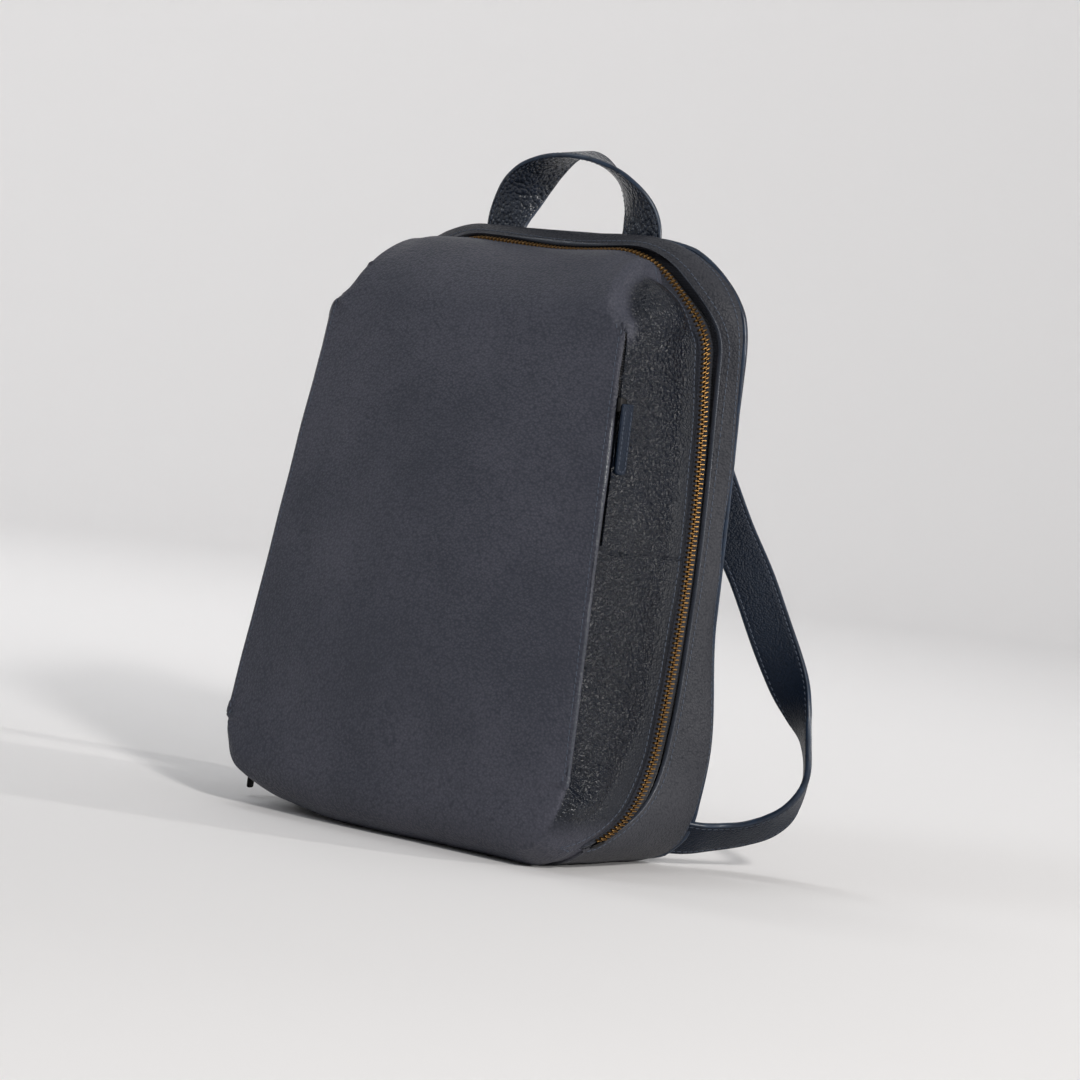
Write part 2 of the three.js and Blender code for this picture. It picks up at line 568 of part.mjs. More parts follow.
// A flat three-bar buckle that lies on the strap's outer face.
function adjuster(sign) {
  const plate = [ADJUSTER.width / 2, ADJUSTER.height / 2, ADJUSTER.thick / 2];
  const slot = [ADJUSTER_SLOT.width / 2, ADJUSTER_SLOT.height / 2, ADJUSTER.thick];
  let solid = toSolid(block(plate.map((v) => -v), plate));
  for (const y of [-ADJUSTER_SLOT.at, ADJUSTER_SLOT.at]) {
    solid = solid.subtract(toSolid(block([-slot[0], y - slot[1], -slot[2]], [slot[0], y + slot[1], slot[2]])));
  }
  const geometry = fromSolid(solid);
  const frame = strapFrame(mirrored(STRAP_PATH, sign), mirrored(STRAP_TWIST, sign), ADJUSTER_AT);
  const out = frame.normal.multiplyScalar(frame.normal.y > 0 ? 1 : -1);
  const along = new THREE.Vector3().crossVectors(out, frame.across);
  geometry.applyMatrix4(new THREE.Matrix4().makeBasis(frame.across, along, out));
  geometry.translate(...frame.at.addScaledVector(out, STRAP.thick / 2 + ADJUSTER.clear).toArray());
  return geometry;
}

function buildStraps() {
  for (const [label, sign] of [['left', -1], ['right', 1]]) {
    const part = (name, path, twist, count) => addNode(`${name}_${label}`,
      ribbon(mirrored(path, sign), mirrored(twist, sign), STRAP.width, STRAP.thick, count), 'strapLeather');
    part('shoulder_strap', STRAP_PATH, STRAP_TWIST, 32);
    part('strap_tab_upper', UPPER_TAB, UPPER_TWIST, 5);
    part('strap_tab_lower', LOWER_TAB, LOWER_TWIST, 5);
    addNode(`strap_adjuster_${label}`, adjuster(sign), 'gunmetal');
  }
}

buildFrontShell();
buildBackShell();
for (const [label, height] of Object.entries(PARKED)) buildSlider(label, height);
buildHandle();
buildStraps();

export default bag;
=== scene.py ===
"""Looks for the leather backpack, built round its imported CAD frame.

Lengths inside the form functions are millimetres, as in the CAD source. Meshes are in metres.
"""
import math
from contextlib import contextmanager

import bmesh
import bpy
import numpy as np
from mathutils import Matrix, Vector
from mathutils.bvhtree import BVHTree


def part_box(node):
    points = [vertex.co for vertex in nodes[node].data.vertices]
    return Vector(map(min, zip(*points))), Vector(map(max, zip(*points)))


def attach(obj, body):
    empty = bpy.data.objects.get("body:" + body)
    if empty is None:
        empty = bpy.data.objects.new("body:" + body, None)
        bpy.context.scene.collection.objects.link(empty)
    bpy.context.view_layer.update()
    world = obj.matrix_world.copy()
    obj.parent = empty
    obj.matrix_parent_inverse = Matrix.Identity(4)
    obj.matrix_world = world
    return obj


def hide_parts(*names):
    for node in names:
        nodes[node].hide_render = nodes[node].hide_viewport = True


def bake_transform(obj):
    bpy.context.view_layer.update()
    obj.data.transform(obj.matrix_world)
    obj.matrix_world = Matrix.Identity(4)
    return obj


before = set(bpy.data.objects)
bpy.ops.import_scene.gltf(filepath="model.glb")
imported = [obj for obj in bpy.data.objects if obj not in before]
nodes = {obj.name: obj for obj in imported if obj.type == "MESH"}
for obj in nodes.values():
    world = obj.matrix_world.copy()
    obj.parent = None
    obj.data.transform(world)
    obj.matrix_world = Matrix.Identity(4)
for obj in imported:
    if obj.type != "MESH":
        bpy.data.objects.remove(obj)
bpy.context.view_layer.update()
MM = 0.001


# ---------------------------------------------------------------- driving sizes
def top_of(node):
    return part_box(node)[1]


# Millimetres, read from the frame or the same as in the CAD source.
HEIGHT = 396.0
BACK_Y = top_of("back_panel").y / MM
FRONT_FOOT_Y = -77.4
FRONT_LEAN = 0.124
RIDGE_LOW = (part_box("edge_seam_right")[0].z / MM, 136.5)
RIDGE_HIGH = (top_of("edge_seam_right").z / MM, 113.8)
FIN_WIDTH = 3.0
FIN_THICK = 2.4
BACK_HALF = 149.5
BACK_FLARE = 8.0
FLARE_Z = 80.0
FLARE_SPAN = 80.0
ZIP_HALF = 142.5
ZIP_WIDEST_Z = 80.0
ZIP_NARROWING = 2.8e-4
TOP_CORNER_FRONT = 50.0
TOP_CORNER_BACK = 85.0
BACK_CORNER_EXTRA = 7.0
BOTTOM_CORNER = 45.0
FRONT_TOP_ROLL = 44.0
FRONT_BOTTOM_ROLL = 34.0
BACK_ROLL = 9.0
FRONT_CROWN = 9.0
ZIP_TOP_DROP = 11.0
TOP_SLOPE = 0.11
ZIP_ARC_Y, ZIP_ARC_Z, ZIP_ARC_R = -75.0, 95.6, 90.0
ZIP_ARC_END = 75.4
ZIP_START_Z = 14.0
FRONT_EDGE = 4.5
FRONT_STITCH = 10.8
GUSSET_EDGE, GUSSET_EDGE_LOW = 4.6, 8.2
LEATHER = 2.0
TURN_DOWN = 1.5
SIDE_SWELL_LOW, SIDE_SWELL_HIGH, GUSSET_SWELL = 2.6, 4.6, 2.6
SADDLE_DEPTH, SADDLE_X, SADDLE_SPAN = 3.5, 12, 45
SOFT_LIFT = 9.0
SIDE_SEAM_DEPTH = 0.9
BASE_START = -34.0
SIDE_SEAM_Z = 195.0
POCKET_LOW, POCKET_HIGH = 200.0, 331.0
POCKET_NEAR, POCKET_FAR = 2.4, 6.4


# ---------------------------------------------------------------- the outer form of the bag
def lerp(a, b, f):
    return a + (b - a) * f


def clamp01(v):
    return np.clip(v, 0.0, 1.0)


def smooth(v):
    c = clamp01(v)
    return c * c * (3 - 2 * c)


def hump(value, centre, spread):
    """A bell curve of height 1."""
    return np.exp(-(((value - centre) / spread) ** 2))


def edge_height(z):
    """Height of a side point after the lower and upper corners are rounded."""
    top = HEIGHT - TOP_CORNER_BACK
    low = BOTTOM_CORNER - math.sqrt(0.5) * (BOTTOM_CORNER - z)
    high = top + math.sqrt(0.5) * (z - top)
    return np.where(z < BOTTOM_CORNER, low, np.where(z > top, high, z))


def front_plane(z):
    return FRONT_FOOT_Y + FRONT_LEAN * z


def ridge_half(z):
    return lerp(RIDGE_LOW[1], RIDGE_HIGH[1], (z - RIDGE_LOW[0]) / (RIDGE_HIGH[0] - RIDGE_LOW[0]))


def between_notches(z, soft=4.0):
    """1 along the stitched front edge, 0 in the moulded corners beyond its two ends."""
    return smooth((z - RIDGE_LOW[0] + soft) / soft) * smooth((RIDGE_HIGH[0] + soft - z) / soft)


def zip_line(z):
    """Side view of the zip: an arc from its lower end, then a long shallow curve."""
    dz = np.maximum(z, ZIP_START_Z) - ZIP_ARC_Z
    arc = ZIP_ARC_Y + np.sqrt(np.maximum(ZIP_ARC_R**2 - dz**2, 0))
    up = z - ZIP_ARC_END
    long_curve = 12.7 + 0.19 * up - 2.93e-4 * up * up - 7 * smooth((z - 320) / 50)
    return np.where(z < ZIP_ARC_END, arc, long_curve)


def zip_stretch(z):
    """How much longer an offset along Y is than the same offset square to the zip."""
    slope = (zip_line(z + 1) - zip_line(z - 1)) / 2
    return np.sqrt(1 + np.minimum(slope * slope, 3.5))


def zip_end(z):
    """0 where the leather closes over the lower end of the zip, 1 above."""
    return smooth((z - 11.0) / 9.0)


def half_width(y, z):
    behind_fin = smooth((y - front_plane(z) - FIN_THICK + 0.6) / 1.0)
    front = ridge_half(z) - FIN_WIDTH * (1 - between_notches(z) * (1 - behind_fin))
    narrowing = np.where(z > ZIP_WIDEST_Z, 1.0, 0.2)
    at_zip = ZIP_HALF - ZIP_NARROWING * (z - ZIP_WIDEST_Z) ** 2 * narrowing
    back = BACK_HALF + BACK_FLARE * smooth(1 - abs(z - FLARE_Z) / FLARE_SPAN)
    zip_y = zip_line(z)
    f = clamp01((y - front_plane(z)) / (zip_y - front_plane(z)))
    g = clamp01((y - zip_y) / (BACK_Y - zip_y))
    side_swell = np.sin(np.pi * f**0.8) * lerp(SIDE_SWELL_LOW, SIDE_SWELL_HIGH, smooth((z - 240) / 70))
    side_swell = side_swell * smooth((z - 12) / 60)
    gusset_swell = GUSSET_SWELL * np.sin(np.pi * g)
    return np.where(y < zip_y, lerp(front, at_zip, f) + side_swell, lerp(at_zip, back, g) + gusset_swell)


def round_corner(p, q, p_max, q_max, s, r):
    """Rounds one corner of a box section: p runs to p_max, q to q_max on the side given by s."""
    a = (p - (p_max - r)) / r
    b = (s * (q - q_max) + r) / r
    inside = (a > 0) & (b > 0)
    a, b = np.clip(a, 0, 1), np.clip(b, 0, 1)
    new_p = p_max - r + r * a * np.sqrt(1 - b * b / 2)
    new_q = q_max - s * r + s * r * b * np.sqrt(1 - a * a / 2)
    return np.where(inside, new_p, p), np.where(inside, new_q, q)


def ridge_roll(z):
    return 1.2 + 26 * smooth((z - RIDGE_HIGH[0] + 1) / 40) + 24 * smooth((RIDGE_LOW[0] + 1 - z) / 45)


def soft_corner_lift(x, y, z):
    """The front of the base lifts off the ground towards the lower left corner, where the sliders stop."""
    return SOFT_LIFT * smooth((-x - 35) / 95) * smooth((75 - z) / 75) * smooth((-14 - y) / 30)


def wall(X, Z, depth, inset=0.0):
    """Points of the bag's wall: X is -1..1 across, Z is 0..1 up, depth(z, inset) gives y."""
    X, Z = np.broadcast_arrays(np.asarray(X, float), np.asarray(Z, float))
    z0 = inset + Z * (HEIGHT - 2 * inset)
    z_edge = edge_height(z0)
    y0 = np.broadcast_to(depth(z_edge, inset), X.shape).astype(float)
    w = half_width(y0, z_edge) - inset
    side = np.where(z0 > HEIGHT / 2, 1.0, -1.0)
    limit = np.where(side > 0, HEIGHT - inset, inset)
    forward = clamp01((zip_line(z_edge) + 30 - y0) / 60)
    behind = smooth((y0 - zip_line(z_edge)) / 45)
    top_corner = lerp(TOP_CORNER_BACK + BACK_CORNER_EXTRA * behind, TOP_CORNER_FRONT, forward)
    corner = np.where(side > 0, top_corner, BOTTOM_CORNER)
    x, z = round_corner(np.abs(X) * w, z0, w, limit, side, corner - inset)
    front_y = front_plane(z_edge) + inset
    roll = np.where(side > 0, FRONT_TOP_ROLL, FRONT_BOTTOM_ROLL) - inset
    back_roll = max(1.0, BACK_ROLL - inset)
    zs, y = round_corner(side * z, y0, side * limit, front_y, -1, roll)
    zs, y = round_corner(zs, y, side * limit, BACK_Y - inset, 1, back_roll)
    z = side * zs
    x, y = round_corner(x, y, w, front_y, -1, np.maximum(1.0, ridge_roll(z) - inset))
    x, y = round_corner(x, y, w, BACK_Y - inset, 1, back_roll)
    skin_y = np.where(y0 < zip_line(z_edge), y - inset, y + inset)
    lowering = ZIP_TOP_DROP * smooth((BACK_Y - 8 - skin_y) / 16) + TOP_SLOPE * np.maximum(0, 34 - skin_y)
    saddle = SADDLE_DEPTH * hump(X * w, SADDLE_X, SADDLE_SPAN) * smooth((BACK_Y - skin_y) / 20)
    z = z - (lowering + saddle) * smooth((z + inset - 230) / (HEIGHT - 230))
    near_front = clamp01(1 - (y - front_y) / 40)
    crown = FRONT_CROWN * (1 - (x / w) ** 2) * smooth(z / 120) * smooth((HEIGHT - z) / 120)
    y = y - crown * near_front
    x = np.sign(X) * x
    z = z + soft_corner_lift(x, y, z)
    return np.stack([x, y, z], axis=-1)


def front_depth(f, edge=FRONT_EDGE, start=0.0):
    """From the front plane (f 0) to the cut edge beside the zip (f 1), which closes at the zip's end."""
    return lambda z, t: lerp(front_plane(z) + t + start, zip_line(z) - edge * zip_end(z) * zip_stretch(z), f)


def zip_depth(offset):
    return lambda z, t: zip_line(z) + offset * zip_stretch(z)


# ---------------------------------------------------------------- sample lines of the form
def steps(a, b, n):
    return np.linspace(a, b, n + 1)


def merged(*lists):
    values = np.unique(np.round(np.concatenate([np.asarray(v, float) for v in lists]), 6))
    return values[np.concatenate([[True], np.diff(values) > 2e-4])]


EDGE_FINE = np.array([0, 0.45, 0.9, 1.35, 1.8, 2.2, 2.6, 3.0, 3.6, 5.0, 7.0])
SEAM_FINE = (SIDE_SEAM_Z + np.array([-2.4, -1.3, -0.6, 0, 0.6, 1.3, 2.4])) / HEIGHT
NOTCH_FINE = np.concatenate([RIDGE_HIGH[0] + np.arange(-3, 9) * 1.0, RIDGE_LOW[0] + np.arange(-12, 3) * 1.0])
UP = merged(steps(0, 1, 165), SEAM_FINE, NOTCH_FINE / HEIGHT)
ACROSS = merged(steps(-0.94, 0.94, 84), -1 + EDGE_FINE / 130, 1 - EDGE_FINE / 130)
DEEP = merged(EDGE_FINE / 85, steps(0.09, 1, 36), 1 - np.array([0, 0.8, 1.6]) / 85)
GUSSET_DEEP = merged(steps(0, 1, 18), 1 - np.array([0, 1, 2.2, 3.6]) / 40)


def u_path(low=0.0):
    """The (X, Z) pairs of the U round the bag, from the lower right corner to the lower left one."""
    up = UP[UP >= low]
    across = merged(steps(-1, 1, 90))[::-1][1:-1]
    right = [(1.0, z) for z in up]
    left = [(-1.0, z) for z in up[::-1]]
    return np.array(right + [(x, 1.0) for x in across] + left)


U_PATH = u_path()


def ring(depth, inset=0.0, path=U_PATH):
    """Points of the bag's wall along the U, or along another list of (X, Z) pairs."""
    return wall(path[:, 0], path[:, 1], depth, inset)


# ---------------------------------------------------------------- meshes
def unit(vectors):
    return vectors / np.linalg.norm(vectors, axis=1)[:, None]


def new_object(name, verts, faces):
    mesh = bpy.data.meshes.new(name)
    mesh.from_pydata([tuple(v) for v in np.asarray(verts)], [], [tuple(f) for f in faces])
    mesh.update()
    obj = bpy.data.objects.new(name, mesh)
    bpy.context.scene.collection.objects.link(obj)
    return obj


def grid_faces(nu, nv, offset=0, closed=False):
    last = nu if closed else nu - 1
    i, j = np.meshgrid(np.arange(last), np.arange(nv - 1))
    a = (j * nu + i).ravel()
    b = (j * nu + (i + 1) % nu).ravel()
    return (np.stack([a, b, b + nu, a + nu], 1) + offset).tolist()


@contextmanager
def editing(mesh):
    """A bmesh of a mesh, written back when the block ends."""
    bm = bmesh.new()
    bm.from_mesh(mesh)
    yield bm
    bm.to_mesh(mesh)
    bm.free()


def recalculate_normals(obj, weld=0.0):
    """Turns all faces the same way, after merging points closer than weld metres."""
    with editing(obj.data) as bm:
        if weld:
            bmesh.ops.remove_doubles(bm, verts=bm.verts, dist=weld)
        bmesh.ops.recalc_face_normals(bm, faces=bm.faces)


SHEET_WELD = 0.00008
CENTRE, FRONT_CENTRE, BACK_CENTRE = (0, 0, 0.19), (0, -0.01, 0.19), (0, 0.02, 0.19)


def sheet_object(name, grids, centre):
    """One welded mesh from grids of points in mm, each (rows, columns, 3).

    It faces away from centre, a point in metres.
    """
    verts, faces = [], []
    count = 0
    for grid in grids:
        rows, columns = grid.shape[:2]
        verts.append(grid.reshape(-1, 3) * MM)
        faces += grid_faces(columns, rows, count)
        count += rows * columns
    obj = new_object(name, np.concatenate(verts), faces)
    recalculate_normals(obj, SHEET_WELD)
    total = sum((p.center - Vector(centre)).dot(p.normal) * p.area for p in obj.data.polygons)
    if total < 0:
        obj.data.flip_normals()
    return obj


def coords(obj):
    co = np.zeros(len(obj.data.vertices) * 3)
    obj.data.vertices.foreach_get("co", co)
    return co.reshape(-1, 3)


def set_coords(obj, points):
    """Moves the vertices of a mesh to points in metres."""
    obj.data.vertices.foreach_set("co", points.ravel())
    obj.data.update()


def vertex_normals(obj):
    no = np.zeros(len(obj.data.vertices) * 3, np.float32)
    obj.data.vertex_normals.foreach_get("vector", no)
    return no.reshape(-1, 3)


def displace(obj, amount):
    """Moves each vertex along its normal by amount(points in mm) millimetres."""
    co = coords(obj)
    set_coords(obj, co + vertex_normals(obj) * (amount(co / MM) * MM)[:, None])


def shade_smooth(obj):
    obj.data.polygons.foreach_set("use_smooth", [True] * len(obj.data.polygons))
    obj.data.update()


def thicken(obj, thickness=LEATHER, bevel=0.5):
    """Gives a sheet its thickness inwards, with a rounded cut edge."""
    solid = obj.modifiers.new("thickness", "SOLIDIFY")
    solid.thickness = thickness * MM
    solid.offset = -1.0
    solid.use_even_offset = False
    if bevel:
        edge = obj.modifiers.new("cut_edge", "BEVEL")
        edge.width = bevel * MM
        edge.segments = 2
        edge.limit_method = "ANGLE"
        edge.angle_limit = math.radians(55)
        edge.harden_normals = False
    apply_modifiers(obj)


def apply_modifiers(obj):
    graph = bpy.context.evaluated_depsgraph_get()
    mesh = bpy.data.meshes.new_from_object(obj.evaluated_get(graph))
    obj.modifiers.clear()
    old = obj.data
    obj.data = mesh
    bpy.data.meshes.remove(old)
    shade_smooth(obj)


def join_objects(name, objects):
    """Joins several objects into one and returns it."""
    verts, faces, slots, materials = [], [], [], []
    count = 0
    for obj in objects:
        me = obj.data
        world = np.array(obj.matrix_world)
        verts.append(coords(obj) @ world[:3, :3].T + world[:3, 3])
        here = [materials.index(m) if m in materials else materials.append(m) or len(materials) - 1
                for m in me.materials] or [0]
        for p in me.polygons:
            faces.append([v + count for v in p.vertices])
            slots.append(here[min(p.material_index, len(here) - 1)])
        count += len(me.vertices)
    joined = new_object(name, np.concatenate(verts), faces)
    for m in materials:
        joined.data.materials.append(m)
    joined.data.polygons.foreach_set("material_index", slots)
    shade_smooth(joined)
    for obj in objects:
        bpy.data.objects.remove(obj)
    return joined


def sine_noise(points, scale, seed=0):
    """Smooth seeded noise of about -1..1 at each point, from a few crossed sine waves."""
    rng = np.random.default_rng(seed)
    total = np.zeros(len(points))
    for _ in range(9):
        direction = rng.normal(size=3)
        direction /= np.linalg.norm(direction)
        k = direction * (2 * np.pi / scale) * rng.uniform(0.6, 1.5)
        total += np.sin(points @ k + rng.uniform(0, 2 * np.pi))
    return total / 3.5


# ---------------------------------------------------------------- materials
class Shader:
    """A small helper round one material's node tree."""

    def __init__(self, name):
        self.material = bpy.data.materials.new(name)
        self.material.use_nodes = True
        self.tree = self.material.node_tree
        self.bsdf = self.tree.nodes["Principled BSDF"]
        self.coords = self.tree.nodes.new("ShaderNodeTexCoord").outputs["Object"]

    def node(self, kind, inputs=None, **settings):
        """A new node: each input is a value or another node's output, and settings are its own options."""
        made = self.tree.nodes.new(kind)
        for key, value in settings.items():
            setattr(made, key, value)
        for key, value in (inputs or {}).items():
            if isinstance(value, bpy.types.NodeSocket):
                self.tree.links.new(value, made.inputs[key])
            else:
                made.inputs[key].default_value = value
        return made

    def noise(self, scale, detail=2.0, roughness=0.5):
        return self.node("ShaderNodeTexNoise", {"Vector": self.coords, "Scale": scale,
                                                "Detail": detail, "Roughness": roughness}).outputs["Fac"]

    def math(self, operation, a, b=0.0):
        return self.node("ShaderNodeMath", {0: a, 1: b}, operation=operation).outputs[0]

    def spread(self, value, low, high, to_low=0.0, to_high=1.0):
        return self.node("ShaderNodeMapRange", {"Value": value, "From Min": low, "From Max": high,
                                                "To Min": to_low, "To Max": to_high}).outputs["Result"]

    def mix(self, factor, a, b):
        return self.node("ShaderNodeMix", {0: factor, 6: a, 7: b}, data_type="RGBA").outputs[2]

    def bump(self, height, strength, distance, normal=None):
        inputs = {"Height": height, "Strength": strength, "Distance": distance}
        if normal is not None:
            inputs["Normal"] = normal
        return self.node("ShaderNodeBump", inputs).outputs["Normal"]

    def link(self, socket, name):
        self.tree.links.new(socket, self.bsdf.inputs[name])


def rgb(r, g, b):
    return (r, g, b, 1.0)


class LeatherShader(Shader):
    """The textures that every leather uses: bent cells for the pebbles, pores, creases and slow mottling."""

    def __init__(self, name, specular):
        super().__init__(name)
        warp = self.node("ShaderNodeTexNoise", {"Vector": self.coords, "Scale": 420.0, "Detail": 2.0})
        self.bent = self.node("ShaderNodeVectorMath", operation="MULTIPLY_ADD",
                              inputs={0: warp.outputs["Color"], 1: (0.0011,) * 3, 2: self.coords}).outputs[0]
        self.pores = self.noise(1300.0, 3.0, 0.6)
        self.slow = self.noise(11.0, 4.0, 0.6)
        self.soft = self.bump(self.noise(70.0, 3.0, 0.65), 0.25, 0.002)
        self.bsdf.inputs["Specular IOR Level"].default_value = specular

    def cells(self, size):
        inputs = {"Vector": self.bent, "Scale": 1000.0 / size, "Smoothness": 0.3}
        return self.node("ShaderNodeTexVoronoi", inputs, feature="SMOOTH_F1").outputs["Distance"]

    def shade(self, pebbles):
        return self.spread(self.math("ADD", self.math("MULTIPLY", self.slow, 0.75),
                                     self.math("MULTIPLY", pebbles, -0.45)), 0.02, 0.45)

    def mottle(self, pebbles, rough):
        return self.spread(self.math("ADD", self.math("MULTIPLY", self.slow, 0.6),
                                     self.math("MULTIPLY", pebbles, 0.6)), 0.15, 0.75, *rough)


def leather(name, dark, light, cell, depth, rough, specular=0.3, crumple=0.0, fine=0.45):
    """Grained leather: pebbles of about cell mm and depth mm, pores, slow colour change, worn high spots.

    crumple is the depth in mm of the larger wrinkles between groups of pebbles, fine the share of the pores.
    """
    s = LeatherShader(name, specular)
    pebbles = s.cells(cell)
    domes = s.math("MULTIPLY", s.math("POWER", pebbles, 2.0), -1.6)
    height = s.math("ADD", domes, s.math("MULTIPLY", s.pores, fine))
    worn = s.spread(s.node("ShaderNodeNewGeometry").outputs["Pointiness"], 0.52, 0.62)
    worn_colour = tuple(min(1, c * 2.0) for c in light[:3]) + (1,)
    colour = s.mix(s.shade(pebbles), dark, light)
    s.link(s.mix(s.math("MULTIPLY", worn, 0.45), colour, worn_colour), "Base Color")
    s.link(s.mottle(pebbles, rough), "Roughness")
    if crumple:
        s.soft = s.bump(s.noise(210.0, 1.0, 0.5), 1.0, crumple * MM, s.soft)
    s.link(s.bump(height, 1.0, depth * MM, s.soft), "Normal")
    return s.material


def shell_leather(name, dark, light, shaded_side_dark, shaded_side_light):
    """The front shell's leather: soft on the front, with deep, polished pebbles on the sides, whose darker
    colour is painted shade.

    One mesh attribute fades in the sides' darker colour, which is painted shade, and side_grain their pebbles
    and polish.
    """
    s = LeatherShader(name, 0.36)
    side_shade_mask = s.node("ShaderNodeAttribute", attribute_name="side_painted_shade").outputs["Fac"]
    grain = s.node("ShaderNodeAttribute", attribute_name="side_grain").outputs["Fac"]
    small, large = s.cells(1.6), s.cells(SIDE_PEBBLE)
    shade = s.shade(small)
    # The sides' colour is painted shade: darker than the front, though it is one leather.
    s.link(s.mix(side_shade_mask, s.mix(shade, dark, light), s.mix(shade, shaded_side_dark, shaded_side_light)), "Base Color")
    s.link(s.math("ADD", s.math("MULTIPLY", s.mottle(small, (0.4, 0.56)), s.math("SUBTRACT", 1.0, grain)),
                  s.math("MULTIPLY", s.mottle(small, (0.13, 0.24)), grain)), "Roughness")
    fine = s.math("ADD", s.math("MULTIPLY", small, -0.5), s.math("MULTIPLY", s.pores, 0.2))
    domes = s.math("MULTIPLY", s.math("POWER", large, 2.0), -SIDE_PEBBLE_DEPTH)
    height = s.math("ADD", fine, s.math("MULTIPLY", domes, grain))
    s.link(s.bump(height, 1.0, MM, s.soft), "Normal")
    return s.material


def fabric(name, dark, light, pitch):
    """Plain weave: crossed threads with a little unevenness."""
    s = Shader(name)
    inputs = {"Vector": s.coords, "Scale": 1000.0 / pitch / 20 * math.pi, "Distortion": 0.4, "Detail": 1.0}
    waves = [s.node("ShaderNodeTexWave", inputs, bands_direction=axis).outputs["Fac"] for axis in "XYZ"]
    weave = s.math("MULTIPLY", s.math("MAXIMUM", waves[0], waves[1]), waves[2])
    slow = s.noise(40.0, 3.0)
    s.link(s.mix(s.spread(s.math("ADD", weave, slow), 0.3, 1.5), dark, light), "Base Color")
    s.bsdf.inputs["Roughness"].default_value = 0.85
    s.bsdf.inputs["Sheen Weight"].default_value = 0.25
    s.link(s.bump(weave, 0.5, 0.0003), "Normal")
    return s.material


def metal(name, dark, light, rough):
    """Cast metal with tarnish in the low spots."""
    s = Shader(name)
    patina = s.noise(500.0, 4.0, 0.6)
    worn = s.spread(s.node("ShaderNodeNewGeometry").outputs["Pointiness"], 0.42, 0.54, 0.35, 1.0)
    s.link(s.mix(s.math("MULTIPLY", worn, s.spread(patina, 0.3, 0.6, 0.55, 1.0)), dark, light), "Base Color")
    s.link(s.spread(patina, 0.3, 0.7, *rough), "Roughness")
    s.link(s.bump(patina, 0.2, 0.0001), "Normal")
    s.bsdf.inputs["Metallic"].default_value = 1.0
    return s.material


def painted_edge(name, dark, light):
    s = Shader(name)
    slow = s.noise(160.0, 3.0)
    s.link(s.mix(s.spread(slow, 0.35, 0.65), dark, light), "Base Color")
    s.link(s.bump(s.noise(600.0), 0.25, 0.0003), "Normal")
    s.bsdf.inputs["Roughness"].default_value = 0.33
    return s.material


def thread(name, dark, light):
    s = Shader(name)
    twist = s.noise(3200.0, 2.0)
    s.link(s.mix(twist, dark, light), "Base Color")
    s.link(s.bump(twist, 0.6, 0.0002), "Normal")
    s.bsdf.inputs["Roughness"].default_value = 0.6
    return s.material


def plain(name, colour, spot, roughness, scale):
    s = Shader(name)
    mottled = s.noise(scale, 5.0, 0.6)
    s.link(s.mix(s.spread(mottled, 0.3, 0.7), colour, spot), "Base Color")
    s.link(s.bump(mottled, 0.2, 0.0005), "Normal")
    s.bsdf.inputs["Roughness"].default_value = roughness
    return s.material


SIDE_PEBBLE, SIDE_PEBBLE_DEPTH = 2.3, 1.5
LOOK = {
    # The last two colours of the shell are its sides' painted shade: darker than the front, though it is one
    # leather.
    "front": shell_leather("front_leather", rgb(0.027, 0.030, 0.044), rgb(0.066, 0.067, 0.089),
                           rgb(0.002, 0.0035, 0.008), rgb(0.006, 0.009, 0.017)),
    "gusset": leather("gusset_leather", rgb(0.020, 0.022, 0.029), rgb(0.044, 0.045, 0.054),
                      cell=1.4, depth=0.22, rough=(0.42, 0.6)),
    # Glossier leather for cut and turned edges. Its colour is a little lighter than the gusset's, which is
    # partly a painted highlight along the gusset's turned edge.
    "rim": leather("turned_edge", rgb(0.024, 0.03, 0.042), rgb(0.055, 0.063, 0.083),
                   cell=1.0, depth=0.08, rough=(0.22, 0.32), specular=0.5),
    "handle": leather("handle_leather", rgb(0.008, 0.012, 0.021), rgb(0.022, 0.029, 0.046),
                      cell=2.4, depth=0.7, rough=(0.18, 0.3), specular=0.5, crumple=0.7, fine=0.1),
    "strap": leather("strap_leather", rgb(0.002, 0.006, 0.015), rgb(0.006, 0.0135, 0.029),
                     cell=1.2, depth=0.25, rough=(0.36, 0.52), specular=0.22),
    "edge": painted_edge("edge_paint", rgb(0.006, 0.013, 0.028), rgb(0.013, 0.028, 0.056)),
    "thread": thread("thread", rgb(0.022, 0.03, 0.046), rgb(0.088, 0.11, 0.155)),
    "tape": fabric("zip_tape", rgb(0.005, 0.007, 0.013), rgb(0.018, 0.022, 0.037), 0.9),
    "lining": fabric("lining_fabric", rgb(0.012, 0.014, 0.022), rgb(0.034, 0.038, 0.052), 0.8),
    "brass": metal("zip_brass", rgb(0.12, 0.063, 0.02), rgb(0.5, 0.29, 0.105), (0.36, 0.52)),
    "dark_metal": metal("dark_metal", rgb(0.008, 0.008, 0.009), rgb(0.035, 0.034, 0.034), (0.4, 0.55)),
    "foam": plain("foam", rgb(0.05, 0.055, 0.062), rgb(0.09, 0.095, 0.1), 0.95, 900.0),
    "board": plain("fibre_board", rgb(0.03, 0.026, 0.022), rgb(0.06, 0.052, 0.042), 0.8, 300.0),
}


def finish_rows(name, rows, body, slot):
    """Joins rows of stitches into one piece that rides on its body, or, for the front shell, is left
    unparented with its transform applied.
    """
    blend_or_ride(join_objects(name, rows), body, slot)


def finish_piece(obj, body, slot, *replaced):
    """Puts a finished piece on its body and hides the CAD nodes that it stands for. The slot argument is not
    used.
    """
    if body:
        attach(obj, body)
    if replaced:
        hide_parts(*replaced)


def paint(obj, *looks):
    obj.data.materials.clear()
    for look in looks:
        obj.data.materials.append(LOOK[look])
    return obj


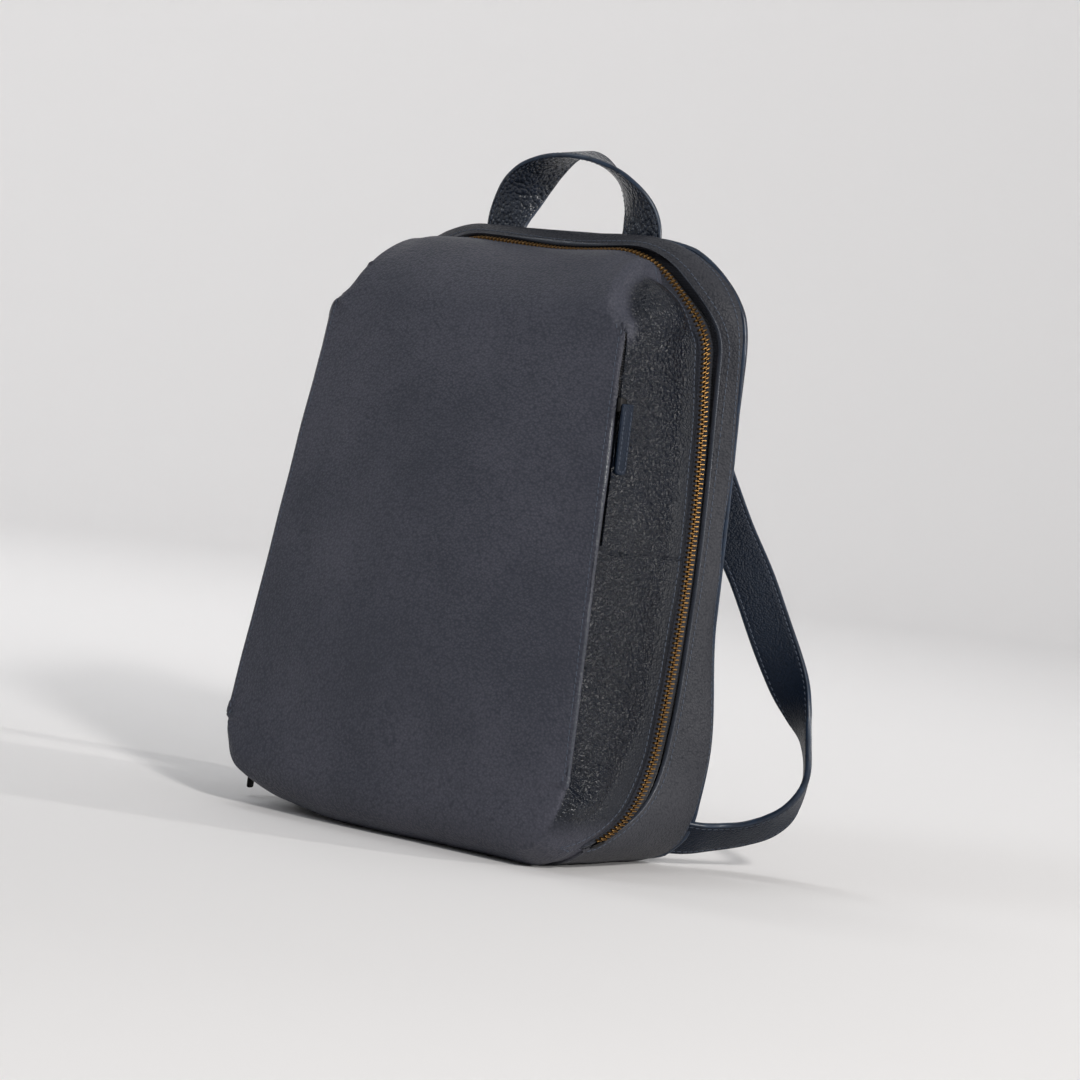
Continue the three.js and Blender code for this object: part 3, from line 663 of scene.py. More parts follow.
# ---------------------------------------------------------------- the leather body
def bag_relief(points):
    """Slow unevenness of soft leather over the whole bag."""
    return 0.8 * sine_noise(points, 150, 3) + 0.3 * sine_noise(points, 55, 5)


PUCKER_WAVES = 5
# Each notch with the reach, height and turn of the creases around it.
NOTCH_PUCKERS = ((RIDGE_HIGH, 26, 0.7, 0.4), (RIDGE_LOW, 24, 0.6, 1.1))


def pucker(points, centre, reach, height, turn):
    """Small creases that fan out from a point."""
    d = points - np.array(centre)
    r = np.linalg.norm(d, axis=1)
    angle = np.arctan2(d[:, 2], np.hypot(d[:, 0], d[:, 1]) * np.sign(d[:, 1])) + turn
    return height * np.sin(PUCKER_WAVES * angle) * np.exp(-((r / reach) ** 2)) * smooth(r / 6)


ARCH_BEHIND, ARCH_Z = 40, 338
ARCH_REACH, ARCH_RISE = 36, 40


def arch_place(s, z, x):
    """Slanted height and relative radius of points near the arch over a side panel, s mm behind the front."""
    up = z + 0.5 * np.maximum(0, 100 - x) - 0.25 * (s - ARCH_BEHIND)
    return up, np.hypot((s - ARCH_BEHIND) / ARCH_REACH, (up - ARCH_Z) / ARCH_RISE)


def top_corner_arch(s, z, x):
    """The moulded fold over each side panel: a crest, a valley inside it and the swelling below."""
    up, r = arch_place(s, z, x)
    fold = 2.6 * hump(r, 1.12, 0.14) - 4.4 * hump(r, 0.84, 0.16) + 3.0 * smooth((0.66 - r) / 0.4)
    start = 322 + 16 * smooth((18 - s) / 10)
    return fold * smooth((up - start) / 22) * smooth((s + 1) / 5)


def low_corner_dish(s, z):
    """The dished leather beside the lower end of the stitched edge, with a rounded rim round it."""
    d = np.hypot(s - 12, z - 62)
    dish = -3.8 * hump(d, 0, 9)
    rim = 2.6 * hump(d, 20, 6) * smooth((71 - z) / 12)
    return (dish + rim) * smooth((s - 3) / 9)


def front_moulding(points):
    """The moulded corners at both ends of the stitched front edges."""
    x, y, z = np.abs(points[:, 0]), points[:, 1], points[:, 2]
    s = y - front_plane(z)
    return smooth((x - ridge_half(z) + 34) / 18) * (top_corner_arch(s, z, x) + low_corner_dish(s, z))


def front_skin_relief(points):
    x, y, z = np.abs(points[:, 0]), points[:, 1], points[:, 2]
    s = y - front_plane(z)
    total = bag_relief(points) + front_moulding(points)
    on_side = smooth((x - ridge_half(z) + 6) / 6) * smooth((s - 8) / 4)
    total = total - SIDE_SEAM_DEPTH * hump(z, SIDE_SEAM_Z, 1.0) * on_side
    from_zip = (zip_line(z) - y) / zip_stretch(z)
    total = total - TURN_DOWN * smooth((FRONT_STITCH - 0.5 - from_zip) / (FRONT_STITCH - FRONT_EDGE))
    for sign in (-1, 1):
        for (notch_z, notch_x), reach, height, turn in NOTCH_PUCKERS:
            notch = (sign * notch_x, front_plane(notch_z), notch_z)
            total = total + pucker(points, notch, reach, height, turn)
    return total


def under_depth(f):
    """Under the bag, from the base panel's front edge (f 0) to the end of the zip (f 1)."""
    return lambda z, t: lerp(BASE_START, zip_line(z) - FRONT_EDGE * zip_end(z) * zip_stretch(z), f)


def build_front_leather():
    """Front panel with its wraps over the top and under the base, and both side panels, as one skin."""
    under = [wall(ACROSS, 0.0, under_depth(f)) for f in steps(0, 1, 8)[:-1]]
    bottom = under + [wall(ACROSS, 0.0, front_depth(f)) for f in DEEP[::-1]]
    face = [wall(ACROSS, Z, front_depth(0.0)) for Z in UP]
    top = [wall(ACROSS, 1.0, front_depth(f)) for f in DEEP]
    grids = [np.array(bottom), np.array(face), np.array(top)]
    for sign in (-1.0, 1.0):
        grids.append(np.array([wall(sign, UP, front_depth(f)) for f in DEEP]))
    skin = sheet_object("front_leather", grids, FRONT_CENTRE)
    open_pocket(skin)
    displace(skin, front_skin_relief)
    mark_side(skin)
    return skin


def trim_fin(skin):
    """Keeps the thin stitched edge from standing out past its cut line near its lower end."""
    points = coords(skin) / MM
    x, y, z = np.abs(points[:, 0]), points[:, 1], points[:, 2]
    near_end = (z > RIDGE_LOW[0] - 8) & (z < RIDGE_LOW[0] + 16) & (y - front_plane(z) < 5)
    limit = ridge_half(z) + 0.2
    limit = limit - 0.8 * smooth((RIDGE_LOW[0] + 1 - z) / 8)
    keep = np.where(near_end & (x > limit), limit / np.maximum(x, 1), 1.0)
    points[:, 0] *= keep
    set_coords(skin, points * MM)


def open_pocket(skin):
    """Cuts the slit of the side pocket beside the right front edge."""
    with editing(skin.data) as bm:
        gone = []
        for face in bm.faces:
            c = face.calc_center_median() / MM
            ahead = c.y - float(front_plane(c.z))
            if c.x > 100 and POCKET_LOW < c.z < POCKET_HIGH and POCKET_NEAR < ahead < POCKET_FAR:
                gone.append(face)
        bmesh.ops.delete(bm, geom=gone, context="FACES")


def mark_side(skin):
    """Marks the cut edge of the fin, and fades in the pebbled leather of the two side panels with its darker
    colour, which is painted shade.
    """
    paint(skin, "front", "rim")
    for p in skin.data.polygons:
        c = p.center / MM
        on_edge = c.y - float(front_plane(c.z)) < 0.9 and abs(c.x) > float(ridge_half(c.z)) - 0.6
        p.material_index = int(on_edge and float(between_notches(c.z)) > 0.5)
    points = coords(skin) / MM
    x, y, z = np.abs(points[:, 0]), points[:, 1], points[:, 2]
    behind = y - front_plane(z)
    up, arch = arch_place(behind, z, x)
    below_arch = 1 - smooth((up - 326) / 14) * smooth((arch - 0.62) / 0.24)
    on_side = smooth((behind - 1.0) / 2.0) * smooth((x - ridge_half(z) + 22) / 8)
    # Where the sides take their darker colour, which is painted shade on one leather.
    side_shade_mask = on_side * below_arch * smooth((z - 16) / 22)
    share = behind / (zip_line(z) - front_plane(z))
    reach = lerp(0.4, 0.64, smooth((z - 34) / 70))
    grain = side_shade_mask * smooth((z - 27) / 10) * smooth((reach + 0.24 - share) / 0.24)
    for name, values in (("side_painted_shade", side_shade_mask), ("side_grain", grain)):
        skin.data.attributes.new(name, "FLOAT", "POINT").data.foreach_set("value", values.astype(np.float32))


def path_frames(points):
    """Unit tangents of a line of points."""
    return unit(np.gradient(points, axis=0))


def swept(name, points, across, out, profile, cap=True):
    """Sweeps a profile of (across, out) offsets in mm along points.

    across and out are lists of unit vectors, one per point.
    """
    rows = [points + across * a + out * b for a, b in profile]
    grid = np.stack(rows, 1)
    n, m = grid.shape[:2]
    faces = grid_faces(m, n, closed=True)
    if cap:
        faces.append(list(range(m))[::-1])
        faces.append([(n - 1) * m + i for i in range(m)])
    obj = new_object(name, grid.reshape(-1, 3) * MM, faces)
    recalculate_normals(obj)
    shade_smooth(obj)
    return obj


def bead(width, thick, n=12, power=2.6):
    """A rounded flat profile, width by thick."""
    a = np.linspace(0, 2 * np.pi, n, endpoint=False)
    c, s = np.cos(a), np.sin(a)
    return [(width / 2 * np.sign(u) * abs(u) ** (2 / power), thick / 2 * np.sign(v) * abs(v) ** (2 / power))
            for u, v in zip(c, s)]


# ---------------------------------------------------------------- stitches
def stitch_template(length, radius):
    sides = 6
    ring = np.linspace(0, 2 * np.pi, sides, endpoint=False)
    verts = [(-length / 2, 0, 0)]
    for x, r in ((-length * 0.38, radius), (length * 0.38, radius)):
        verts += [(x, r * math.cos(a), r * 0.8 * math.sin(a)) for a in ring]
    verts.append((length / 2, 0, 0))
    faces = []
    for i in range(sides):
        j = (i + 1) % sides
        faces += [(0, 1 + j, 1 + i), (1 + i, 1 + j, 7 + j, 7 + i), (7 + i, 7 + j, 13)]
    return np.array(verts), faces


def copies(name, template, faces, points, bases):
    """One mesh of many copies of a template, each at a point and turned by its own three axes."""
    verts, all_faces = [], []
    for k, (p, basis) in enumerate(zip(points, bases)):
        verts.append(p + template @ basis)
        shift = k * len(template)
        all_faces += [[v + shift for v in f] for f in faces]
    return new_object(name, np.concatenate(verts) * MM, all_faces)


def place_copies(name, template, faces, points, tangents, normals):
    """Smooth copies of a template, local x along tangents and local z along normals."""
    side = unit(np.cross(normals, tangents))
    obj = copies(name, template, faces, points, np.stack([np.cross(side, normals), side, normals], 1))
    shade_smooth(obj)
    return obj


def run_along(points):
    """Distance along a line at each of its points."""
    return np.concatenate([[0], np.cumsum(np.linalg.norm(np.diff(points, axis=0), axis=1))])


def along(points, at, *fields):
    """The line's points, or given vectors at them, at distances along the line."""
    run = run_along(points)
    return [np.stack([np.interp(at, run, field[:, i]) for i in range(3)], 1) for field in fields or (points,)]


def spaced(points, pitch):
    """Points every pitch mm along a line."""
    length = run_along(points)[-1]
    count = max(2, int(length / pitch))
    return along(points, (np.arange(count) + 0.5) * length / count)[0]


def snap(points, surface):
    """Nearest points and normals on a mesh object."""
    me = surface.data
    tree = BVHTree.FromPolygons([v.co for v in me.vertices], [p.vertices for p in me.polygons])
    found = [tree.find_nearest(Vector(p * MM)) for p in points]
    return np.array([f[0] for f in found]) / MM, np.array([f[1] for f in found])


STITCH_PITCH = 3.9
STITCH_LENGTH = 3.1
STITCH_RADIUS = 0.36
STITCH_SLANT = 0.1


def stitches(name, line, surface=None, normals=None, lift=0.05, pitch=STITCH_PITCH):
    """A row of thread stitches along a line, laid on a surface or on given normals."""
    at = spaced(line, pitch)
    t = path_frames(at)
    if surface is not None:
        at, n = snap(at, surface)
    else:
        n = np.array([normals[np.argmin(np.linalg.norm(line - p, axis=1))] for p in at])
    t = t + STITCH_SLANT * np.cross(n, t)
    template, faces = stitch_template(STITCH_LENGTH * pitch / STITCH_PITCH, STITCH_RADIUS)
    row = place_copies(name, template, faces, at + n * lift, t, n)
    return paint(row, "thread")


# ---------------------------------------------------------------- back half of the leather body
def back_skin_relief(points):
    _, y, z = points.T
    total = bag_relief(points)
    near_seam = hump(y, BACK_Y, 7)
    total = total + near_seam * (0.7 * np.sin(z / 13 + 1.5 * np.sin(z / 31)) - 0.8)
    return total


def gusset_edge(z):
    """Distance from the zip's centre line to the turned edge of the gusset, which closes at the zip's end."""
    widened = lerp(GUSSET_EDGE, GUSSET_EDGE_LOW, smooth((290 - z) / 200))
    return 2.0 + (widened - 2.0) * smooth((z - 13) / 44)


def gusset_depth(g):
    """From the turned edge behind the zip (g 0) to the back (g 1)."""
    return lambda z, t: lerp(zip_line(z) + gusset_edge(z) * zip_stretch(z), BACK_Y - t, g)


def base_depth(g):
    """Under the bag, from the base panel's front edge (g 0) to the back (g 1)."""
    return lambda z, t: lerp(BASE_START, BACK_Y - t, g)


def at_back(z, t):
    return BACK_Y - t + 0 * z


def sheet_piece(name, grids, centre, relief, look, thickness=LEATHER, bevel=0.5):
    """A painted sheet with thickness, displaced by relief(points in mm) millimetres."""
    sheet = sheet_object(name, grids, centre)
    displace(sheet, relief)
    paint(sheet, look)
    thicken(sheet, thickness, bevel)
    return sheet


def build_back_leather():
    """The gusset round both sides and the top, and the base, as one skin."""
    grids = [np.array([ring(gusset_depth(g)) for g in GUSSET_DEEP]),
             np.array([wall(ACROSS, 0.0, base_depth(g)) for g in steps(0, 1, 30)])]
    skin = sheet_piece("gusset_and_base", grids, BACK_CENTRE, back_skin_relief, "gusset")
    finish_piece(skin, "back_shell", "side_leather", "back_gusset", "base_panel")
    return skin


def build_turned_edge():
    """The folded front edge of the gusset, a small bead beside the zip tape."""
    points = ring(gusset_depth(0.0), 1.6)
    t = path_frames(points)
    out = unit(points - ring(gusset_depth(0.0), 2.6))
    across = np.cross(t, out)
    edge = swept("gusset_turned_edge", points, across, out, bead(1.3, 3.4, 16, 2.0))
    # The rim look, lighter than the gusset, paints a highlight along this edge.
    paint(edge, "rim")
    finish_piece(edge, "back_shell", "side_leather")


def build_back_panel():
    rows = [wall(ACROSS * 0.999, Z, at_back) for Z in UP]
    panel = sheet_piece("back_panel", [np.array(rows)], CENTRE, lambda p: 0.5 * bag_relief(p), "front")
    finish_piece(panel, "back_shell", "front_leather", "back_panel")


def build_back_welt():
    """The closing seam round the back: a thin painted edge between the gusset and the back panel."""
    lower = [(x, 0.0) for x in np.linspace(-1, 1, 60)[1:-1]]
    path = np.concatenate([U_PATH, lower])
    points = ring(at_back, 2.2, path)
    inner = wall(path[:, 0] * 0.97, 0.5 + (path[:, 1] - 0.5) * 0.97, at_back, 8.0)
    out = unit(points - inner)
    loop = np.concatenate([points, points[:1]])
    out = np.concatenate([out, out[:1]])
    t = path_frames(loop)
    across = np.cross(t, out)
    welt = swept("back_seam_welt", loop + out * 1.9, across, out, bead(2.6, 3.4, 12, 2.2), cap=False)
    paint(welt, "edge")
    finish_piece(welt, "back_shell", "side_leather")


PAD_HALF_TOP, PAD_HALF_LOW = 88.0, 116.0
PAD_LOW_Z, PAD_HIGH_Z = 34.0, 344.0
PAD_THICK = 7.0
PAD_LIFT = 0.4
PAD_CHANNELS = (112.0, 190.0, 268.0)


def pad_half(z):
    return lerp(PAD_HALF_LOW, PAD_HALF_TOP, (z - PAD_LOW_Z) / (PAD_HIGH_Z - PAD_LOW_Z))


def pad_outline(n=220):
    """The rounded outline of the back pad as (x, z) points."""
    a = np.linspace(0, 2 * np.pi, n, endpoint=False)
    c, s = np.cos(a), np.sin(a)
    power = 2 / 7.0
    u = np.sign(c) * np.abs(c) ** power
    v = np.sign(s) * np.abs(s) ** power
    z = lerp(PAD_LOW_Z, PAD_HIGH_Z, (v + 1) / 2)
    return np.stack([u * pad_half(z), z], 1)


def pad_grid_object(name):
    """A closed, slightly crowned pad on the back panel, before its cover swells."""
    radii = [1.0, 1.0, 0.985, 0.95, 0.88, 0.76, 0.6, 0.42, 0.24, 0.1, 0.02]
    heights = [0.0] + [PAD_THICK * (1 - r**6) ** 0.5 for r in radii[1:]]
    centre = np.array([0, (PAD_LOW_Z + PAD_HIGH_Z) / 2])
    outline = pad_outline()
    n = len(outline)
    verts = []
    for r, h in zip(radii, heights):
        verts += [(x, BACK_Y + PAD_LIFT + h, z) for x, z in centre + (outline - centre) * r]
    faces = grid_faces(n, len(radii), closed=True)
    for ring_start, height in (((len(radii) - 1) * n, PAD_THICK), (0, 0.0)):
        hub = len(verts)
        verts.append((centre[0], BACK_Y + PAD_LIFT + height, centre[1]))
        faces += [(ring_start + i, ring_start + (i + 1) % n, hub) for i in range(n)]
    obj = new_object(name, np.array(verts) * MM, faces)
    recalculate_normals(obj)
    return obj


PAD_VOXEL, PAD_SWELL = 5.0, 6.0
PAD_CLOTH = {"use_pressure": True, "uniform_pressure_force": 4.0, "quality": 6, "mass": 0.3,
             "tension_stiffness": 18, "compression_stiffness": 14, "bending_stiffness": 1.2}
CLOTH_FRAMES = 20


def swell(obj):
    """Remeshes the closed pad, swells it as pressurised cloth, at most PAD_SWELL mm, and subdivides it."""
    remesh = obj.modifiers.new("remesh", "REMESH")
    remesh.mode = "VOXEL"
    remesh.voxel_size = PAD_VOXEL * MM
    apply_modifiers(obj)
    start = coords(obj)
    cloth = obj.modifiers.new("cloth", "CLOTH")
    settings = cloth.settings
    for key, value in PAD_CLOTH.items():
        setattr(settings, key, value)
    settings.effector_weights.gravity = 0
    on_panel = start[:, 1] / MM < BACK_Y + 1.5
    group = obj.vertex_groups.new(name="pins")
    group.add([int(i) for i in np.nonzero(on_panel)[0]], 1.0, "REPLACE")
    settings.vertex_group_mass = "pins"
    scene = bpy.context.scene
    cloth.point_cache.frame_start = 1
    cloth.point_cache.frame_end = CLOTH_FRAMES + 1
    for number in range(1, CLOTH_FRAMES + 1):
        scene.frame_set(number)
    apply_modifiers(obj)
    scene.frame_set(1)
    move = coords(obj) - start
    length = np.linalg.norm(move, axis=1)
    limited = np.minimum(1.0, PAD_SWELL * MM / np.maximum(length, 1e-9))
    set_coords(obj, start + move * limited[:, None])
    obj.vertex_groups.clear()
    sub = obj.modifiers.new("subdivision", "SUBSURF")
    sub.levels = 1
    apply_modifiers(obj)


def back_pad_channels(points):
    """Depth of the stitched channels and of the seam round the back pad."""
    x, y, z = points.T
    spine = hump(x, 0, 2.6)
    cross = sum(hump(z, height, 2.6) for height in PAD_CHANNELS)
    return -2.6 * clamp01(spine + cross) * (y > BACK_Y + 2)


def build_back_pad():
    pad = pad_grid_object("back_pad")
    swell(pad)
    displace(pad, back_pad_channels)
    displace(pad, lambda p: 0.35 * sine_noise(p, 40, 8))
    paint(pad, "front")
    shade_smooth(pad)
    finish_piece(pad, "back_shell", "front_leather")
    line = np.array([(0, BACK_Y + 8, z) for z in np.linspace(PAD_LOW_Z + 8, PAD_HIGH_Z - 8, 80)])
    rows = [stitches("pad_stitches_spine", line, pad)]
    for k, height in enumerate(PAD_CHANNELS):
        half = pad_half(height) - 9
        line = np.array([(x, BACK_Y + 8, height) for x in np.linspace(-half, half, 80)])
        rows.append(stitches(f"pad_stitches_{k}", line, pad))
    finish_rows("back_pad_stitches", rows, "back_shell", "front_leather")


# ---------------------------------------------------------------- zip
def zip_path(low, inset):
    """Points along the zip's centre line with unit vectors along it, across it (to the back) and outwards."""
    path = u_path(low)
    points = ring(zip_depth(0.0), inset, path)
    behind = unit(ring(zip_depth(3.0), inset, path) - points)
    ahead = unit(points - ring(zip_depth(-5.0), inset, path))
    side = unit(ahead * 0.8 + behind * 0.2)
    t = path_frames(points)
    return points, t, side, unit(np.cross(side, t))


def tooth_template():
    """One zip tooth: local x along the zip, local y towards its own tape, local z outwards."""
    bm = bmesh.new()
    bmesh.ops.create_cube(bm, size=1.0)
    for v in bm.verts:
        head = v.co.y < 0
        v.co.x *= TOOTH_LENGTH * (0.92 if head else 1.05)
        v.co.z *= TOOTH_HEIGHT * (0.8 if head else 1.0)
        v.co.y = -0.55 if head else 3.35
    bmesh.ops.bevel(bm, geom=list(bm.edges), offset=0.32, segments=1, affect="EDGES")
    verts = np.array([tuple(v.co) for v in bm.verts])
    faces = [[v.index for v in f.verts] for f in bm.faces]
    bm.free()
    return verts, faces


TOOTH_PITCH = 3.0
TOOTH_LENGTH = 1.25
TOOTH_HEIGHT = 2.6
TEETH_LOW = 0.02


def build_teeth(label, sign, body):
    """Teeth on one tape: sign is -1 for the front half of the zip and 1 for the back half."""
    name = f"zip_teeth_{label}"
    points, t, side, out = zip_path(TEETH_LOW, inset=0.3)
    count = int(run_along(points)[-1] / TOOTH_PITCH)
    at = (np.arange(count) + 0.5 + 0.25 * sign) * TOOTH_PITCH
    points, t, side, out = along(points, at, points, t, side, out)
    template, faces = tooth_template()
    if sign < 0:
        template = template * [1, -1, 1]
        faces = [f[::-1] for f in faces]
    teeth = copies(name, template, faces, points, np.stack([t, side, out], 1))
    paint(teeth, "brass")
    blend_or_ride(teeth, body, "zip_brass", name)


# Distance from the zip's centre line and depth of each row of the front tape (-1) and the back tape (1).
TAPE_ROWS = {
    -1: [(0.9, 0.1), (1.6, 0.1), (2.6, 0.4), (3.6, 1.3), (4.6, 2.4), (6.0, 3.9), (8.5, 4.6), (12.0, 5.0)],
    1: [(0.9, 0.1), (1.6, 0.1), (2.6, 0.2), (3.6, 0.5), (5.0, 1.0), (7.0, 1.6), (9.5, 2.2), (12.0, 2.8)],
}


def build_tape(label, sign, body):
    points, _, side, out = zip_path(TEETH_LOW * 0.1, inset=0.5)
    rows = [points + side * (sign * offset) - out * depth for offset, depth in TAPE_ROWS[sign]]
    tape = sheet_object(f"zip_tape_{label}", [np.array(rows)], CENTRE)
    paint(tape, "tape")
    thicken(tape, 0.9, 0.0)
    blend_or_ride(tape, body, "zip_tape", f"zip_tape_{label}")


def blend_or_ride(obj, body, slot, *replaced):
    """Front shell pieces are left unparented, with their transform applied; everything else rides on its
    body.
    """
    if body == "front_shell":
        finish_piece(obj, None, slot, *replaced)
        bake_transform(obj)
    else:
        finish_piece(obj, body, slot, *replaced)


def build_zip():
    for label, sign, body in (("front", -1, "front_shell"), ("back", 1, "back_shell")):
        build_teeth(label, sign, body)
        build_tape(label, sign, body)


# ---------------------------------------------------------------- refined CAD pieces
def refined(node, body, slot, look, bevel):
    """A copy of a CAD node with edges rounded by bevel mm and its own material."""
    mesh = nodes[node].data.copy()
    obj = bpy.data.objects.new(f"{node}_finished", mesh)
    bpy.context.scene.collection.objects.link(obj)
    obj.matrix_world = nodes[node].matrix_world
    with editing(mesh) as bm:
        bmesh.ops.remove_doubles(bm, verts=bm.verts, dist=0.00002)
        bmesh.ops.dissolve_limit(bm, angle_limit=math.radians(2), verts=bm.verts, edges=bm.edges)
    round_off = obj.modifiers.new("rounding", "BEVEL")
    round_off.width = bevel * MM
    round_off.segments = 3
    round_off.limit_method = "ANGLE"
    round_off.angle_limit = math.radians(30)
    apply_modifiers(obj)
    paint(obj, look)
    finish_piece(obj, body, slot, node)
    return obj


def build_metal():
    for label in ("lower", "upper"):
        refined(f"zip_slider_{label}", f"{label}_slider", "dark_metal", "dark_metal", 0.7)
        refined(f"zip_pull_{label}", f"{label}_pull", "dark_metal", "dark_metal", 0.45)
    refined("pocket_slider", "pocket_slider", "dark_metal", "dark_metal", 0.8)
    for label in ("left", "right"):
        refined(f"zip_end_stop_{label}", "back_shell", "zip_brass", "dark_metal", 0.4)


# ---------------------------------------------------------------- inside
LINING_THICK = 0.9


def build_layer(name, slot, look, outer, thickness):
    """A smooth layer outer mm inside the front leather: padding or lining."""
    across = ACROSS * 0.97
    bottom = [wall(across, 0.0, front_depth(f, 10.0), outer) for f in np.linspace(1, 0, 12)]
    face = [wall(across, Z, front_depth(0.0), outer) for Z in UP[1:-1]]
    top = [wall(across, 1.0, front_depth(f, 10.0), outer) for f in np.linspace(0, 1, 12)]
    grid = np.array(bottom + face + top)
    layer = sheet_piece(name, [grid], FRONT_CENTRE, front_moulding, look, thickness, 0.0)
    blend_or_ride(layer, "front_shell", slot, name)
    return layer


def build_side_lining(sign, label):
    """The lining of one side panel, pressed inwards at the top to clear the moulded leather."""
    name = f"side_lining_{label}"
    rows = [wall(sign, UP[2:-2], front_depth(f, 9.5, 3.0), 3.4) for f in np.linspace(0, 1, 26)]

    def relief(p):
        return front_moulding(p) - 3.5 * smooth((p[:, 2] - 290) / 30) + 0.3 * sine_noise(p, 35, 12)
    lining = sheet_piece(name, [np.array(rows)], CENTRE, relief, "lining", LINING_THICK, 0.0)
    blend_or_ride(lining, "front_shell", "lining_fabric", name)


def build_gusset_lining():
    """The lining behind the gusset, from the zip tape round both sides and the top."""
    path = u_path(0.03)

    def at(g):
        return lambda z, t: lerp(zip_line(z) + 9.0 * zip_stretch(z), BACK_Y - 4.5, g)
    rows = [ring(at(g), 3.6, path) for g in np.linspace(0, 1, 10)]
    lining = sheet_piece("gusset_lining", [np.array(rows)], BACK_CENTRE,
                         lambda p: 0.3 * sine_noise(p, 35, 14), "lining", LINING_THICK, 0.0)
    finish_piece(lining, "back_shell", "lining_fabric", "gusset_lining")


def build_side_pocket():
    """The side pocket's bag, with its top corner tucked in below the moulded corner of the leather."""
    bag = refined("side_pocket_bag", "front_shell", "lining_fabric", "lining", 0.4)
    points = coords(bag) / MM
    points[:, 0] -= 8.0 * smooth((points[:, 2] - 285) / 45)
    set_coords(bag, points * MM)


def build_inside():
    build_gusset_lining()
    build_side_pocket()
    padding = build_layer("front_padding", "foam", "foam", 2.6, 2.4)
    build_layer("front_lining", "lining_fabric", "lining", 5.6, LINING_THICK)
    for label, sign in (("left", -1), ("right", 1)):
        build_side_lining(sign, label)
    for node, look in (("base_lining", "lining"), ("back_lining", "lining"), ("back_padding", "foam"),
                       ("base_board", "board"), ("laptop_sleeve", "lining"), ("inner_pocket", "lining")):
        paint(nodes[node], look)


# ---------------------------------------------------------------- straps and handle
STRAP_SAMPLES = 14
# The knots between which each round of the curve's interpolation runs.
CATMULL_SPANS = (((0, 1), (1, 2), (2, 3)), ((0, 2), (1, 3)), ((1, 2),))


def catmull(points):
    """Centripetal Catmull-Rom curve through a list of points."""
    p = np.asarray(points, float)
    ext = np.concatenate([[2 * p[0] - p[1]], p, [2 * p[-1] - p[-2]]])
    result = []
    for i in range(1, len(ext) - 2):
        q = ext[i - 1:i + 3]
        knots = [0.0]
        for k in range(3):
            knots.append(knots[-1] + max(np.linalg.norm(q[k + 1] - q[k]), 1e-6) ** 0.5)
        for t in np.linspace(knots[1], knots[2], STRAP_SAMPLES, endpoint=False):
            level = list(q)
            for spans in CATMULL_SPANS:
                ends = [(knots[a], knots[b]) for a, b in spans]
                level = [(high - t) / (high - low) * before + (t - low) / (high - low) * after
                         for (low, high), before, after in zip(ends, level, level[1:])]
            result.append(level[0])
    result.append(p[-1])
    return np.array(result)


def strap_line(path, twist):
    """Centre points of a strap with its across and outward unit vectors."""
    points = catmull(path)
    per = STRAP_SAMPLES
    turn = np.concatenate([np.linspace(a, b, per, endpoint=False) for a, b in zip(twist[:-1], twist[1:])]
                          + [np.array([twist[-1]], float)])
    kernel = np.ones(per) / per
    padded = np.concatenate([np.repeat(turn[:1], per, 0), turn, np.repeat(turn[-1:], per, 0)])
    turn = np.stack([np.convolve(padded[:, i], kernel, "same") for i in range(3)], 1)[per:-per]
    t = path_frames(points)
    across = unit(turn - t * np.sum(turn * t, axis=1)[:, None])
    return points, across, np.cross(t, across)


STITCH_INSET = 3.0
STITCH_SINK = 0.42
EDGE_PAINT = 1.35


def strap_profile(width, thick):
    """Half thickness across a strap: flat faces, a slight dip under each stitch row and rounded edges."""
    half = width / 2
    at_edge = half - 1.7
    us = np.concatenate([np.linspace(-half, -at_edge, 6), [-half + 2.3, -half + STITCH_INSET, -half + 3.8],
                         np.linspace(-half + 5, half - 5, 9), [half - 3.8, half - STITCH_INSET, half - 2.3],
                         np.linspace(at_edge, half, 6)])
    e = np.clip((np.abs(us) - at_edge) / (half - at_edge), 0, 1)
    dip = 0.3 * hump(np.abs(us), half - STITCH_INSET, 0.6)
    crown = 0.25 * (1 - (us / half) ** 2)
    h = (thick / 2 - 0.25 - dip + crown) * np.sqrt(1 - e**2)
    upper = list(zip(us, h))
    lower = [(u, -v) for u, v in reversed(upper[1:-1])]
    return upper + lower


def strap_pieces(names, lines, width, thick, look):
    """A strap with painted edges, and its two stitch rows on each face."""
    points, across, out = lines
    profile = strap_profile(width, thick)
    strap = swept(names[0], points, across, out, profile)
    paint(strap, look, "edge")
    n = len(profile)
    edge = [abs(u) > width / 2 - EDGE_PAINT for u, _ in profile]
    for p in strap.data.polygons:
        ids = [v % n for v in p.vertices]
        p.material_index = int(len(ids) == 4 and all(edge[i] for i in ids))
    rows = []
    for a in (-1, 1):
        for b in (-1, 1):
            line = points + across * a * (width / 2 - STITCH_INSET) + out * b * (thick / 2 - STITCH_SINK)
            rows.append(stitches(f"{names[1]}_{a}_{b}", line, normals=out * b, lift=0.0))
    return strap, join_objects(names[1], rows)


HANDLE_HALF = [(-54, 61, 371), (-54, 61, 386), (-53.5, 61, 400), (-48, 61, 413),
               (-39, 60.5, 425), (-27, 60, 435.5), (-13, 59, 443)]
HANDLE_TURN = [(1, 0, 0), (1, 0, 0), (1, 0.05, 0), (0.9, 0.3, -0.1),
               (0.7, 0.75, -0.3), (0.4, 1, -0.1), (0.15, 1, 0.12)]
HANDLE_PATH = HANDLE_HALF + [(0, 58.5, 445.5)] + [(-x, y, z) for x, y, z in HANDLE_HALF[::-1]]
HANDLE_TWIST = HANDLE_TURN + [(0, 1, 0.2)] + [(-x, y, z) for x, y, z in HANDLE_TURN[::-1]]
HANDLE_WIDTH, HANDLE_THICK = 31.0, 3.8


